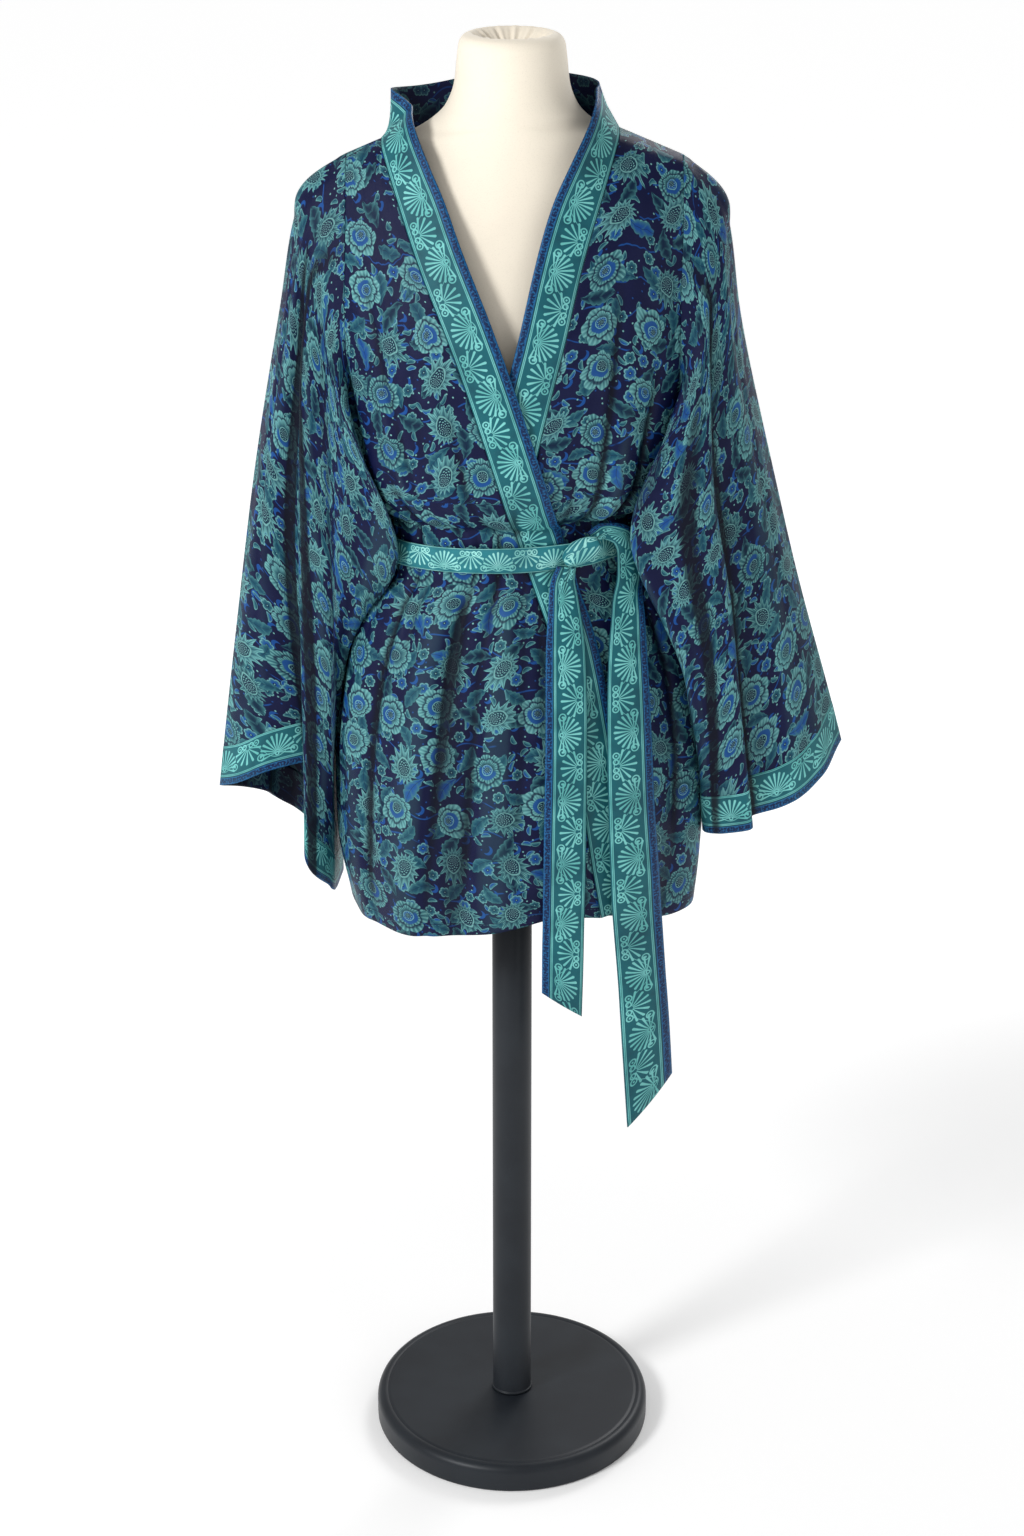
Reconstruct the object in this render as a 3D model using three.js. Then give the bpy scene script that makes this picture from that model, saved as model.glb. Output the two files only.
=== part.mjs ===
// A short kimono coat, closed with a tied sash, on a limbless dress form with a pole and a round base.
// Millimetres, +Z up. The wearer faces -Y, so the wearer's right is -X. The origin is the middle of the
// base's underside. The coat is cut from a printed cloth, with border-print bands at its front edges,
// neck and sleeve ends, and each cut piece is one closed wall of cloth.
import * as THREE from "three";

// Cloth
const CLOTH = 1.5; // wall of the printed cloth
const SASH_CLOTH = 2.4; // the sash is sewn double
const SEAM_GAP = 0.4; // clearance between two pieces at their seam
const SHOULDER_GAP = 0.5; // how far each side stops short of the shoulder fold's line
const LAP = 2.6; // each crossing front stands this far off the plain body surface
const BAND_WIDTH = 45; // border-print band at the front edges and neck
const RAD = Math.PI / 180;

// Sections of the body from hem to shoulder fold. height is the ring's height at its middle and fall how
// much lower its outer ends lie; right, left, front and back are its reaches from the middle.
const BODY = [
  { name: "hem", height: 640, fall: 0, right: 168, left: 191, front: 128, back: 126 },
  { name: "skirt low", height: 715, fall: 0, right: 181, left: 197, front: 136, back: 133 },
  { name: "skirt middle", height: 800, fall: 0, right: 182, left: 199, front: 134, back: 130 },
  { name: "skirt top", height: 900, fall: 0, right: 171, left: 186, front: 120, back: 116 },
  { name: "below sash", height: 975, fall: 0, right: 147, left: 158, front: 106, back: 101 },
  { name: "sash low", height: 1011, fall: 0, right: 130, left: 136, front: 96, back: 91 },
  { name: "sash high", height: 1061, fall: 0, right: 130, left: 136, front: 96, back: 91 },
  { name: "blouse low", height: 1076, fall: 0, right: 144, left: 150, front: 110, back: 102 },
  { name: "blouse", height: 1100, fall: 0, right: 160, left: 165, front: 123, back: 113 },
  { name: "chest", height: 1170, fall: 2, right: 173, left: 178, front: 130, back: 117 },
  { name: "bust", height: 1250, fall: 10, right: 183, left: 187, front: 126, back: 114 },
  { name: "upper chest", height: 1340, fall: 30, right: 189, left: 192, front: 104, back: 102 },
  { name: "yoke", height: 1418, fall: 52, right: 190, left: 193, front: 67, back: 76 },
  { name: "shoulder roll", height: 1464, fall: 66, right: 190, left: 193, front: 27, back: 31 },
  { name: "shoulder fold", height: 1474, fall: 72, right: 190, left: 193, front: 0, back: 0 },
];
const SECTION_KEYS = ["height", "fall", "right", "left", "front", "back"];
const TOP = BODY.length - 1;
const UNDERARM = BODY.findIndex((s) => s.name === "blouse");
const SASH_LOW = BODY.findIndex((s) => s.name === "sash low");
const SASH_HIGH = SASH_LOW + 1;
const ARMHOLE = { right: 160, left: 165 }; // reach of each armhole's plane

// Soft folds of the body: turn is the way round from the front middle in degrees, positive to the
// wearer's left; lean turns the fold as it rises; out is its height off the surface, negative for a trough.
const BODY_FOLDS = [
  { turn: -62, spread: 5, out: 4, from: 0, to: 4.8, lean: 0 },
  { turn: -40, spread: 6, out: 5, from: 0, to: 4.8, lean: 3 },
  { turn: -22, spread: 5, out: -5, from: 0, to: 4.8, lean: 1 },
  { turn: -6, spread: 5, out: 5, from: 0, to: 4.8, lean: 1 },
  { turn: 55, spread: 5, out: -5, from: 0, to: 4.8, lean: 0 },
  { turn: 74, spread: 5, out: 4, from: 0, to: 4.8, lean: 0 },
  { turn: -14, spread: 4, out: 4, from: 7, to: 10.5, lean: -5 },
  { turn: -30, spread: 4.5, out: 5, from: 7, to: 10.5, lean: -5 },
  { turn: -50, spread: 5, out: 4, from: 7, to: 9.6, lean: -4 },
  { turn: 36, spread: 4.5, out: 5, from: 7, to: 10.5, lean: 1 },
  { turn: 56, spread: 5, out: 4, from: 7, to: 9.6, lean: 3 },
  { turn: 112, spread: 6, out: 4, from: 0, to: 4.8, lean: 0 },
  { turn: 134, spread: 6, out: 5, from: 0, to: 4.8, lean: 0 },
  { turn: 157, spread: 6, out: 4, from: 0, to: 4.8, lean: 1 },
  { turn: 181, spread: 6, out: 5, from: 0, to: 4.8, lean: 0 },
  { turn: 204, spread: 6, out: 4, from: 0, to: 4.8, lean: -1 },
  { turn: 226, spread: 6, out: 5, from: 0, to: 4.8, lean: 0 },
  { turn: 248, spread: 6, out: 4, from: 0, to: 4.8, lean: 0 },
  { turn: 140, spread: 6, out: 4, from: 7, to: 10.5, lean: -1 },
  { turn: 165, spread: 6, out: 5, from: 7, to: 10.5, lean: 0 },
  { turn: 193, spread: 6, out: 5, from: 7, to: 10.5, lean: 0 },
  { turn: 219, spread: 6, out: 4, from: 7, to: 10.5, lean: 1 },
];

// The hem's height above or below its plain section, by turn.
const HEM_RISE = [
  { turn: -90, rise: 0 },
  { turn: -38, rise: -6 },
  { turn: 0, rise: 12 },
  { turn: 14, rise: 22 },
  { turn: 34, rise: 14 },
  { turn: 60, rise: -4 },
  { turn: 90, rise: 0 },
  { turn: 180, rise: -4 },
  { turn: 270, rise: 0 },
];

// Where the neckband is sewn to each front: the seam's reach to +X at a height.
const RIGHT_SEAM = [
  { height: 637, x: 90 },
  { height: 714, x: 80 },
  { height: 932, x: 44 },
  { height: 1034, x: 11 },
  { height: 1158, x: -26 },
  { height: 1247, x: -56 },
  { height: 1334, x: -92 },
  { height: 1426, x: -126 },
];
const LEFT_SEAM = [
  { height: 637, x: -44 },
  { height: 1040, x: 2 },
  { height: 1158, x: 27 },
  { height: 1247, x: 49 },
  { height: 1334, x: 70 },
  { height: 1436, x: 103 },
];
const NECK_BACK = 60; // how far behind the shoulder fold the back neck seam reaches
const NECK_CORNER = 2.2; // how much further back it is cut at the wearer's right shoulder
// The neckband lies flat up to one height, then lifts off the body's surface, by these angles in degrees
// where it reaches the shoulder fold, just behind it, and at the middle of the back.
const BAND_STAND = {
  flat: 1350,
  right: { shoulder: 24, behind: 62, back: 60 },
  left: { shoulder: 38, behind: 44, back: 60 },
};

// Each sleeve is a tube of closed rings. place runs round a ring: 0 the outer fold over the arm, 0.25 the
// front, 0.5 the underarm, 0.75 the back. along runs down it: 0 the armhole, 1 the sleeve end.
const RIGHT_SLEEVE = [
  {
    along: 0.1,
    ring: [
      { place: 0, x: -206, y: 0, z: 1368 },
      { place: 0.12, x: -201, y: -26, z: 1352 },
      { place: 0.235, x: -193, y: -46, z: 1315 },
      { place: 0.33, x: -180, y: -60, z: 1245 },
      { place: 0.42, x: -168, y: -76, z: 1142 },
      { place: 0.47, x: -156, y: -68, z: 1094 },
      { place: 0.53, x: -171, y: -12, z: 1080 },
      { place: 0.6, x: -174, y: 30, z: 1120 },
      { place: 0.75, x: -184, y: 50, z: 1245 },
      { place: 0.88, x: -200, y: 32, z: 1344 },
      { place: 1, x: -206, y: 0, z: 1368 },
    ],
  },
  {
    along: 0.3,
    ring: [
      { place: 0, x: -228, y: 0, z: 1262 },
      { place: 0.12, x: -222, y: -34, z: 1240 },
      { place: 0.235, x: -206, y: -50, z: 1200 },
      { place: 0.33, x: -181, y: -62, z: 1145 },
      { place: 0.42, x: -150, y: -74, z: 1066 },
      { place: 0.47, x: -132, y: -60, z: 1024 },
      { place: 0.53, x: -136, y: -16, z: 1024 },
      { place: 0.62, x: -160, y: 32, z: 1060 },
      { place: 0.75, x: -190, y: 52, z: 1140 },
      { place: 0.88, x: -216, y: 38, z: 1225 },
      { place: 1, x: -228, y: 0, z: 1262 },
    ],
  },
  {
    along: 0.62,
    ring: [
      { place: 0, x: -266, y: 2, z: 1040 },
      { place: 0.12, x: -252, y: -26, z: 1034 },
      { place: 0.235, x: -214, y: -40, z: 990 },
      { place: 0.33, x: -182, y: -52, z: 925 },
      { place: 0.42, x: -183, y: -26, z: 892 },
      { place: 0.5, x: -181, y: 44, z: 885 },
      { place: 0.58, x: -184, y: 76, z: 895 },
      { place: 0.75, x: -216, y: 80, z: 950 },
      { place: 0.88, x: -250, y: 46, z: 1010 },
      { place: 1, x: -266, y: 2, z: 1040 },
    ],
  },
  {
    along: 1,
    ring: [
      { place: 0, x: -303, y: 4, z: 754 },
      { place: 0.07, x: -284, y: -14, z: 764 },
      { place: 0.14, x: -254, y: -24, z: 779 },
      { place: 0.2, x: -214, y: -24, z: 789 },
      { place: 0.272, x: -208, y: -36, z: 684 },
      { place: 0.33, x: -201, y: -14, z: 650 },
      { place: 0.42, x: -192, y: 26, z: 632 },
      { place: 0.5, x: -182, y: 70, z: 630 },
      { place: 0.58, x: -190, y: 92, z: 650 },
      { place: 0.75, x: -228, y: 86, z: 692 },
      { place: 0.88, x: -274, y: 50, z: 734 },
      { place: 1, x: -303, y: 4, z: 754 },
    ],
  },
];
const LEFT_SLEEVE = [
  {
    along: 0.1,
    ring: [
      { place: 0, x: 207, y: 0, z: 1362 },
      { place: 0.12, x: 203, y: -28, z: 1344 },
      { place: 0.27, x: 191, y: -56, z: 1280 },
      { place: 0.36, x: 184, y: -72, z: 1210 },
      { place: 0.44, x: 162, y: -84, z: 1126 },
      { place: 0.5, x: 172, y: -34, z: 1080 },
      { place: 0.56, x: 178, y: 8, z: 1090 },
      { place: 0.64, x: 180, y: 36, z: 1156 },
      { place: 0.75, x: 189, y: 50, z: 1244 },
      { place: 0.88, x: 202, y: 34, z: 1338 },
      { place: 1, x: 207, y: 0, z: 1362 },
    ],
  },
  {
    along: 0.3,
    ring: [
      { place: 0, x: 225, y: 0, z: 1255 },
      { place: 0.12, x: 219, y: -42, z: 1228 },
      { place: 0.27, x: 197, y: -72, z: 1160 },
      { place: 0.36, x: 168, y: -86, z: 1092 },
      { place: 0.44, x: 133, y: -84, z: 1042 },
      { place: 0.5, x: 146, y: -46, z: 1014 },
      { place: 0.62, x: 170, y: 12, z: 1060 },
      { place: 0.75, x: 192, y: 50, z: 1134 },
      { place: 0.88, x: 214, y: 44, z: 1216 },
      { place: 1, x: 225, y: 0, z: 1255 },
    ],
  },
  {
    along: 0.62,
    ring: [
      { place: 0, x: 276, y: 2, z: 1038 },
      { place: 0.12, x: 262, y: -34, z: 1022 },
      { place: 0.27, x: 222, y: -60, z: 970 },
      { place: 0.36, x: 200, y: -76, z: 925 },
      { place: 0.44, x: 193, y: -72, z: 898 },
      { place: 0.5, x: 194, y: -46, z: 884 },
      { place: 0.62, x: 208, y: 10, z: 900 },
      { place: 0.75, x: 232, y: 50, z: 945 },
      { place: 0.88, x: 262, y: 44, z: 1005 },
      { place: 1, x: 276, y: 2, z: 1038 },
    ],
  },
  {
    along: 1,
    ring: [
      { place: 0, x: 340, y: 6, z: 804 },
      { place: 0.09, x: 322, y: -22, z: 779 },
      { place: 0.18, x: 292, y: -42, z: 755 },
      { place: 0.27, x: 250, y: -54, z: 738 },
      { place: 0.36, x: 226, y: -54, z: 726 },
      { place: 0.5, x: 206, y: -28, z: 722 },
      { place: 0.62, x: 218, y: 14, z: 736 },
      { place: 0.75, x: 256, y: 44, z: 766 },
      { place: 0.88, x: 306, y: 42, z: 794 },
      { place: 1, x: 340, y: 6, z: 804 },
    ],
  },
];

// Knife pleats of the sleeves. lap is how far the cloth doubles back, depth how far the inner layer stands
// in front of the outer one, and from is where along the sleeve the pleat begins.
const PLEATS = {
  right: [
    { place: 0.237, spread: 0.032, lap: 7, depth: 10, from: 0.02 },
    { place: 0.345, spread: 0.036, lap: 0, depth: 4, from: 0.05 },
    { place: 0.83, spread: 0.036, lap: 8, depth: 9, from: 0.1 },
  ],
  left: [
    { place: 0.285, spread: 0.032, lap: 9, depth: 10, from: 0.04 },
    { place: 0.385, spread: 0.036, lap: 0, depth: 4, from: 0.3 },
    { place: 0.83, spread: 0.036, lap: 8, depth: 9, from: 0.1 },
  ],
};
const CUFF_WIDTH = 44; // border-print band at the sleeve end
const ARMHOLE_FAN = 1.8; // how strongly the outer part of a sleeve gathers at the top of its armhole

// Sash: a doubled strip round the waist, knotted in front with two hanging ends. A path's rows are x, height,
// out from the coat's surface, and width across.
const SASH = { height: 25, middle: 1035, tilt: 0.045, clear: 0.5 };
const KNOT = { x: 62, height: 1045, out: 18.8, long: 21, tall: 12, deep: 10, turn: 32 };
const SHORT_TAIL = {
  path: [
    { x: 49.5, height: 1029.5, out: 15, width: 17 },
    { x: 47, height: 1010, out: 11, width: 23 },
    { x: 49, height: 985, out: 10, width: 30 },
    { x: 51, height: 940, out: 10, width: 38 },
    { x: 52, height: 860, out: 10, width: 40 },
    { x: 51, height: 740, out: 10, width: 41 },
    { x: 50, height: 650, out: 10, width: 41 },
    { x: 49, height: 568, out: 10, width: 40 },
  ],
  slant: -15,
};
const LONG_TAIL = {
  path: [
    { x: 72.4, height: 1056.4, out: 12.8, width: 12 },
    { x: 84, height: 1061, out: 15, width: 16 },
    { x: 97, height: 1055, out: 18, width: 19 },
    { x: 103, height: 1040, out: 19, width: 21 },
    { x: 105, height: 1018, out: 18, width: 23 },
    { x: 106, height: 980, out: 17, width: 29 },
    { x: 108, height: 920, out: 16, width: 37 },
    { x: 112, height: 800, out: 16, width: 43 },
    { x: 118, height: 690, out: 16, width: 46 },
    { x: 126, height: 580, out: 16, width: 45 },
    { x: 135, height: 442, out: 16, width: 43 },
  ],
  slant: 22,
};

// Sections of the dress form, from its underside over the shoulders to the gathered cap of the neck.
// pinch narrows a section towards its shoulder ends.
const FORM = [
  { height: 790, fall: 0, reach: 118, front: 84, back: 84, pinch: 1 },
  { height: 793, fall: 0, reach: 138, front: 99, back: 100, pinch: 1 },
  { height: 804, fall: 0, reach: 149, front: 107, back: 109, pinch: 1 },
  { height: 860, fall: 0, reach: 156, front: 108, back: 107, pinch: 1 },
  { height: 940, fall: 0, reach: 138, front: 96, back: 91, pinch: 1 },
  { height: 1030, fall: 0, reach: 118, front: 82, back: 76, pinch: 1 },
  { height: 1100, fall: 0, reach: 128, front: 93, back: 84, pinch: 1 },
  { height: 1190, fall: 0, reach: 144, front: 111, back: 96, pinch: 1 },
  { height: 1270, fall: 4, reach: 150, front: 102, back: 97, pinch: 1.05 },
  { height: 1345, fall: 12, reach: 153, front: 82, back: 86, pinch: 1.15 },
  { height: 1398, fall: 18, reach: 158, front: 68, back: 68, pinch: 1.5 },
  { height: 1430, fall: 18, reach: 155, front: 60, back: 57, pinch: 3 },
  { height: 1449, fall: 26.4, reach: 139.4, front: 57, back: 52, pinch: 3.4 },
  { height: 1454, fall: 16, reach: 97, front: 56, back: 52, pinch: 2 },
  { height: 1462, fall: 5, reach: 68, front: 56, back: 52, pinch: 1 },
  { height: 1482, fall: 0, reach: 56, front: 54, back: 51, pinch: 1 },
  { height: 1508, fall: 0, reach: 53, front: 52, back: 50, pinch: 1 },
  { height: 1522, fall: 0, reach: 51, front: 50, back: 48, pinch: 1 },
  { height: 1529, fall: 0, reach: 46, front: 45, back: 43, pinch: 1 },
  { height: 1531, fall: 0, reach: 40, front: 39, back: 38, pinch: 1 },
  { height: 1528, fall: 0, reach: 34, front: 33, back: 32, pinch: 1 },
  { height: 1519, fall: 0, reach: 22, front: 21, back: 20, pinch: 1 },
  { height: 1515, fall: 0, reach: 8, front: 8, back: 8, pinch: 1 },
];

// The base's outline from the middle of its underside to the middle of its top. It is a little deeper than
// it is wide, by this factor.
const BASE_DEPTH = 1.1;
const BASE = [
  { radius: 141, height: 0 },
  { radius: 147, height: 1.5 },
  { radius: 150, height: 6 },
  { radius: 150, height: 20 },
  { radius: 148.5, height: 25 },
  { radius: 145, height: 28.5 },
  { radius: 140, height: 30 },
  { radius: 138, height: 29.2 },
  { radius: 136, height: 30 },
  { radius: 60, height: 30 },
];
const POLE = [
  { radius: 22.4, height: 30.3 },
  { radius: 22.4, height: 33 },
  { radius: 21, height: 34 },
  { radius: 21, height: 789.6 },
];

// Mesh counts
const FRONT_COLUMNS = 18;
const BACK_COLUMNS = 30;
const LOW_ROWS = 11; // rows of a panel from the hem to the underarm
const HIGH_ROWS = 12; // rows from the underarm to the shoulder fold
const SLEEVE_ROUND = 42;
const SLEEVE_ROWS = 12;
const CUFF_ROWS = 2;
const BAND_COLUMNS = 3;
const BAND_ROWS = 34;
const NECK_ROWS = 9;
const FORM_ROUND = 32;
const STAND_ROUND = 40;

const COLOURS = {
  print: 0x23405f,
  border: 0x2f8583,
  jersey: 0xf0e9db,
  metal: 0x23282d,
};

const clamp01 = (t) => Math.min(1, Math.max(0, t));
const smooth = (low, high, t) => {
  const s = clamp01((t - low) / (high - low));
  return s * s * (3 - 2 * s);
};
const mix = (a, b, t) => a + (b - a) * t;
const vec = (p) => new THREE.Vector3(...p);
// A section's fall at a share of its reach: nothing in the middle, all of it at the ends, with no crease.
const sag = (across) => (Math.hypot(across, 0.15) - 0.15) / (Math.hypot(1, 0.15) - 0.15);

// The value of a table's column at a place, by a curve through the rows that never overshoots them.
function column(rows, key, place, at) {
  const last = rows.length - 1;
  const where = (i) => (place ? rows[i][place] : i);
  const t = Math.min(where(last), Math.max(where(0), at));
  let i = 0;
  while (i < last - 1 && where(i + 1) <= t) i += 1;
  const slope = (j) => (rows[j + 1][key] - rows[j][key]) / (where(j + 1) - where(j));
  const tangent = (j) => {
    if (j === 0) return slope(0);
    if (j === last) return slope(last - 1);
    const [a, b] = [slope(j - 1), slope(j)];
    return a * b <= 0 ? 0 : (2 * a * b) / (a + b);
  };
  const span = where(i + 1) - where(i);
  const u = (t - where(i)) / span;
  const [m0, m1] = [tangent(i) * span, tangent(i + 1) * span];
  const [p0, p1] = [rows[i][key], rows[i + 1][key]];
  const [u2, u3] = [u * u, u * u * u];
  return (2 * u3 - 3 * u2 + 1) * p0 + (u3 - 2 * u2 + u) * m0 + (3 * u2 - 2 * u3) * p1 + (u3 - u2) * m1;
}

// A section of the body at a level, a whole number being a row of the table.
function sectionAt(level) {
  const s = {};
  for (const key of SECTION_KEYS) s[key] = column(BODY, key, null, level);
  return s;
}

// A point of the plain body surface, before folds.
function plainPoint(turn, level) {
  const s = sectionAt(level);
  const [across, ahead] = [Math.sin(turn * RAD), Math.cos(turn * RAD)];
  const x = across * (across < 0 ? s.right : s.left);
  const y = -ahead * (ahead > 0 ? s.front : s.back);
  const rise = column(HEM_RISE, "rise", "turn", turn < -90 ? turn + 360 : turn);
  return new THREE.Vector3(x, y, s.height - s.fall * sag(across) + rise * clamp01(1 - level));
}

// The outward direction of the plain body surface.
function bodyNormal(turn, level) {
  const [dt, dl] = [0.5, 0.02];
  const low = Math.min(level, TOP - dl);
  const round = plainPoint(turn + dt, low).sub(plainPoint(turn - dt, low));
  const rise = plainPoint(turn, low + dl).sub(plainPoint(turn, Math.max(0, low - dl)));
  return round.cross(rise).normalize();
}

function foldHeight(turn, level) {
  let out = 0;
  for (const f of BODY_FOLDS) {
    const centre = f.turn + f.lean * (level - f.from);
    const away = ((turn - centre + 540) % 360) - 180;
    const ends = smooth(f.from - 0.9, f.from + 0.5, level) * (1 - smooth(f.to - 1.4, f.to, level));
    out += f.out * ends * Math.exp(-((away / f.spread) ** 2) / 2);
  }
  return out;
}

// How far each layer stands off where the fronts cross.
const overLap = (turn) => LAP * smooth(-84, -45, turn);
const underLap = (turn) => -LAP * (1 - smooth(48, 84, turn));
const lapFade = (level) => 1 - smooth(TOP - 3.6, TOP - 2.2, level);

function bodyPoint(turn, level, out) {
  return plainPoint(turn, level).addScaledVector(bodyNormal(turn, level), out + foldHeight(turn, level));
}

// The turn at which a ring reaches a given x, on the front half.
function turnAtX(level, xAt) {
  const s = sectionAt(level);
  let across = 0;
  for (let i = 0; i < 12; i += 1) {
    const x = xAt(s.height - s.fall * sag(across));
    across = x / (x < 0 ? s.right : s.left);
  }
  return Math.asin(Math.max(-1, Math.min(1, across))) / RAD;
}

// The front half's side edge at a level: the side seam below the underarm, the armhole above it.
function sideTurn(side, level, gap) {
  const reach = sectionAt(level)[side];
  const arm = ARMHOLE[side] - gap;
  return level <= UNDERARM || reach <= arm ? 90 - (gap / reach) / RAD : Math.asin(arm / reach) / RAD;
}

const seamTurn = (rows, level) => turnAtX(level, (height) => column(rows, "x", "height", height));

// Levels of a panel's rows: even up to the underarm, then closer together just above it.
function panelLevels(high) {
  const low = Array.from({ length: LOW_ROWS }, (_, j) => (UNDERARM * j) / LOW_ROWS);
  const upper = Array.from({ length: HIGH_ROWS + 1 }, (_, j) => mix(UNDERARM, high, (j / HIGH_ROWS) ** 1.25));
  return [...low, ...upper];
}

// The level at which a front or back stops, just short of the shoulder fold's line.
const foldLevel = (turn, depth) => TOP - SHOULDER_GAP / (depth * Math.abs(Math.cos(turn * RAD)));

// A grid of cloth middle points is grid[i][j], i across and j up. Its directions square to the cloth are on
// the side of (across x up).
function gridNormals(grid, round) {
  const [n, m] = [grid.length, grid[0].length];
  const row = (j) => Math.min(m - 1, Math.max(0, j));
  const cell = (i, j) => grid[round ? (i + n) % n : Math.min(n - 1, Math.max(0, i))][row(j)];
  return grid.map((line, i) =>
    line.map((_, j) => {
      const across = cell(i + 1, j).clone().sub(cell(i - 1, j));
      const up = cell(i, j + 1).clone().sub(cell(i, j - 1));
      return across.cross(up).normalize();
    }),
  );
}

// A closed wall of cloth along a grid of middle points.
function wall(grid, thickness, round = false, normals = gridNormals(grid, round)) {
  const [n, m] = [grid.length, grid[0].length];
  const positions = [];
  for (const side of [1, -1])
    grid.forEach((line, i) =>
      line.forEach((point, j) => {
        const p = point.clone().addScaledVector(normals[i][j], (side * thickness) / 2);
        positions.push(p.x, p.y, p.z);
      }),
    );
  const index = [];
  const outer = (i, j) => (i % n) * m + j;
  const inner = (i, j) => n * m + (i % n) * m + j;
  const quad = (a, b, c, d) => index.push(a, b, c, a, c, d);
  const columns = round ? n : n - 1;
  for (let i = 0; i < columns; i += 1)
    for (let j = 0; j < m - 1; j += 1) {
      quad(outer(i, j), outer(i + 1, j), outer(i + 1, j + 1), outer(i, j + 1));
      quad(inner(i, j), inner(i, j + 1), inner(i + 1, j + 1), inner(i + 1, j));
    }
  for (let i = 0; i < columns; i += 1) {
    quad(outer(i, 0), inner(i, 0), inner(i + 1, 0), outer(i + 1, 0));
    quad(outer(i, m - 1), outer(i + 1, m - 1), inner(i + 1, m - 1), inner(i, m - 1));
  }
  if (!round)
    for (let j = 0; j < m - 1; j += 1) {
      quad(outer(0, j), outer(0, j + 1), inner(0, j + 1), inner(0, j));
      quad(outer(n - 1, j), inner(n - 1, j), inner(n - 1, j + 1), outer(n - 1, j + 1));
    }
  return buffer(positions, index);
}

function buffer(positions, index) {
  const geometry = new THREE.BufferGeometry();
  geometry.setAttribute("position", new THREE.Float32BufferAttribute(positions, 3));
  geometry.setIndex(index);
  geometry.computeVertexNormals();
  return geometry;
}

// A solid of closed rings, one above the other, with a point or a flat fan at each end.
function ringSolid(rings) {
  const n = rings[0].length;
  const positions = rings.flat().flatMap((p) => [p.x, p.y, p.z]);
  const index = [];
  for (let k = 0; k < rings.length - 1; k += 1)
    for (let i = 0; i < n; i += 1) {
      const [a, b] = [k * n + i, k * n + ((i + 1) % n)];
      index.push(a, b, b + n, a, b + n, a + n);
    }
  for (const [k, order] of [[0, -1], [rings.length - 1, 1]]) {
    const middle = rings[k].reduce((sum, p) => sum.add(p), new THREE.Vector3()).divideScalar(n);
    const centre = positions.length / 3;
    positions.push(middle.x, middle.y, middle.z);
    for (let i = 0; i < n; i += 1) {
      const pair = [k * n + i, k * n + ((i + 1) % n)];
      if (order < 0) pair.reverse();
      index.push(...pair, centre);
    }
  }
  return buffer(positions, index);
}

// The front panels: from the side seam and armhole to the neckband's seam.
function frontGrid(side) {
  const sign = side === "right" ? -1 : 1;
  const seam = side === "right" ? RIGHT_SEAM : LEFT_SEAM;
  const lap = side === "right" ? overLap : underLap;
  const columns = [];
  for (let i = 0; i <= FRONT_COLUMNS; i += 1) {
    const share = i / FRONT_COLUMNS;
    const turnAt = (level) => {
      const edge = seamTurn(seam, level);
      const away = sign * sideTurn(side, level, SEAM_GAP);
      return side === "right" ? mix(away, edge, share) : mix(edge, away, share);
    };
    const high = foldLevel(turnAt(TOP - 0.02), BODY[TOP - 1].front);
    columns.push(
      panelLevels(high).map((level) => {
        const turn = turnAt(level);
        return bodyPoint(turn, level, lap(turn) * lapFade(level));
      }),
    );
  }
  return columns;
}

// Where a neckband's front seam meets the shoulder fold.
function seamTop(side) {
  const seam = side === "right" ? RIGHT_SEAM : LEFT_SEAM;
  return seam[seam.length - 1];
}

// The back neck seam lies where the body surface meets this scoop, seen from above.
function neckScoop(x) {
  const right = seamTop("right").x;
  const left = seamTop("left").x;
  const u = (2 * x - right - left) / (left - right);
  return Math.abs(u) >= 1 ? 0 : NECK_BACK * (1 - u * u) ** 0.55;
}

// The back's columns run from the wearer's left side to the right one.
function backTurn(share, level) {
  const left = 180 - sideTurn("left", level, SEAM_GAP);
  const right = 180 + sideTurn("right", level, SEAM_GAP);
  return mix(left, right, share);
}

function backTop(share) {
  const high = foldLevel(backTurn(share, TOP - 0.02), BODY[TOP - 1].back);
  const spare = (level) => {
    const p = plainPoint(backTurn(share, level), level);
    const corner = p.x > 0 ? 0 : smooth(seamTop("right").x - 12, seamTop("right").x + 4, p.x) * NECK_CORNER;
    return p.y - neckScoop(p.x) - SEAM_GAP / 2 - corner * (1 - smooth(10, 45, neckScoop(p.x)));
  };
  if (spare(high) >= 0) return high;
  let [low, top] = [TOP - 3, high];
  for (let i = 0; i < 40; i += 1) {
    const middle = (low + top) / 2;
    if (spare(middle) > 0) low = middle;
    else top = middle;
  }
  return low;
}

function backGrid() {
  const columns = [];
  for (let i = 0; i <= BACK_COLUMNS; i += 1) {
    const share = i / BACK_COLUMNS;
    columns.push(panelLevels(backTop(share)).map((level) => bodyPoint(backTurn(share, level), level, 0)));
  }
  return columns;
}

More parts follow.
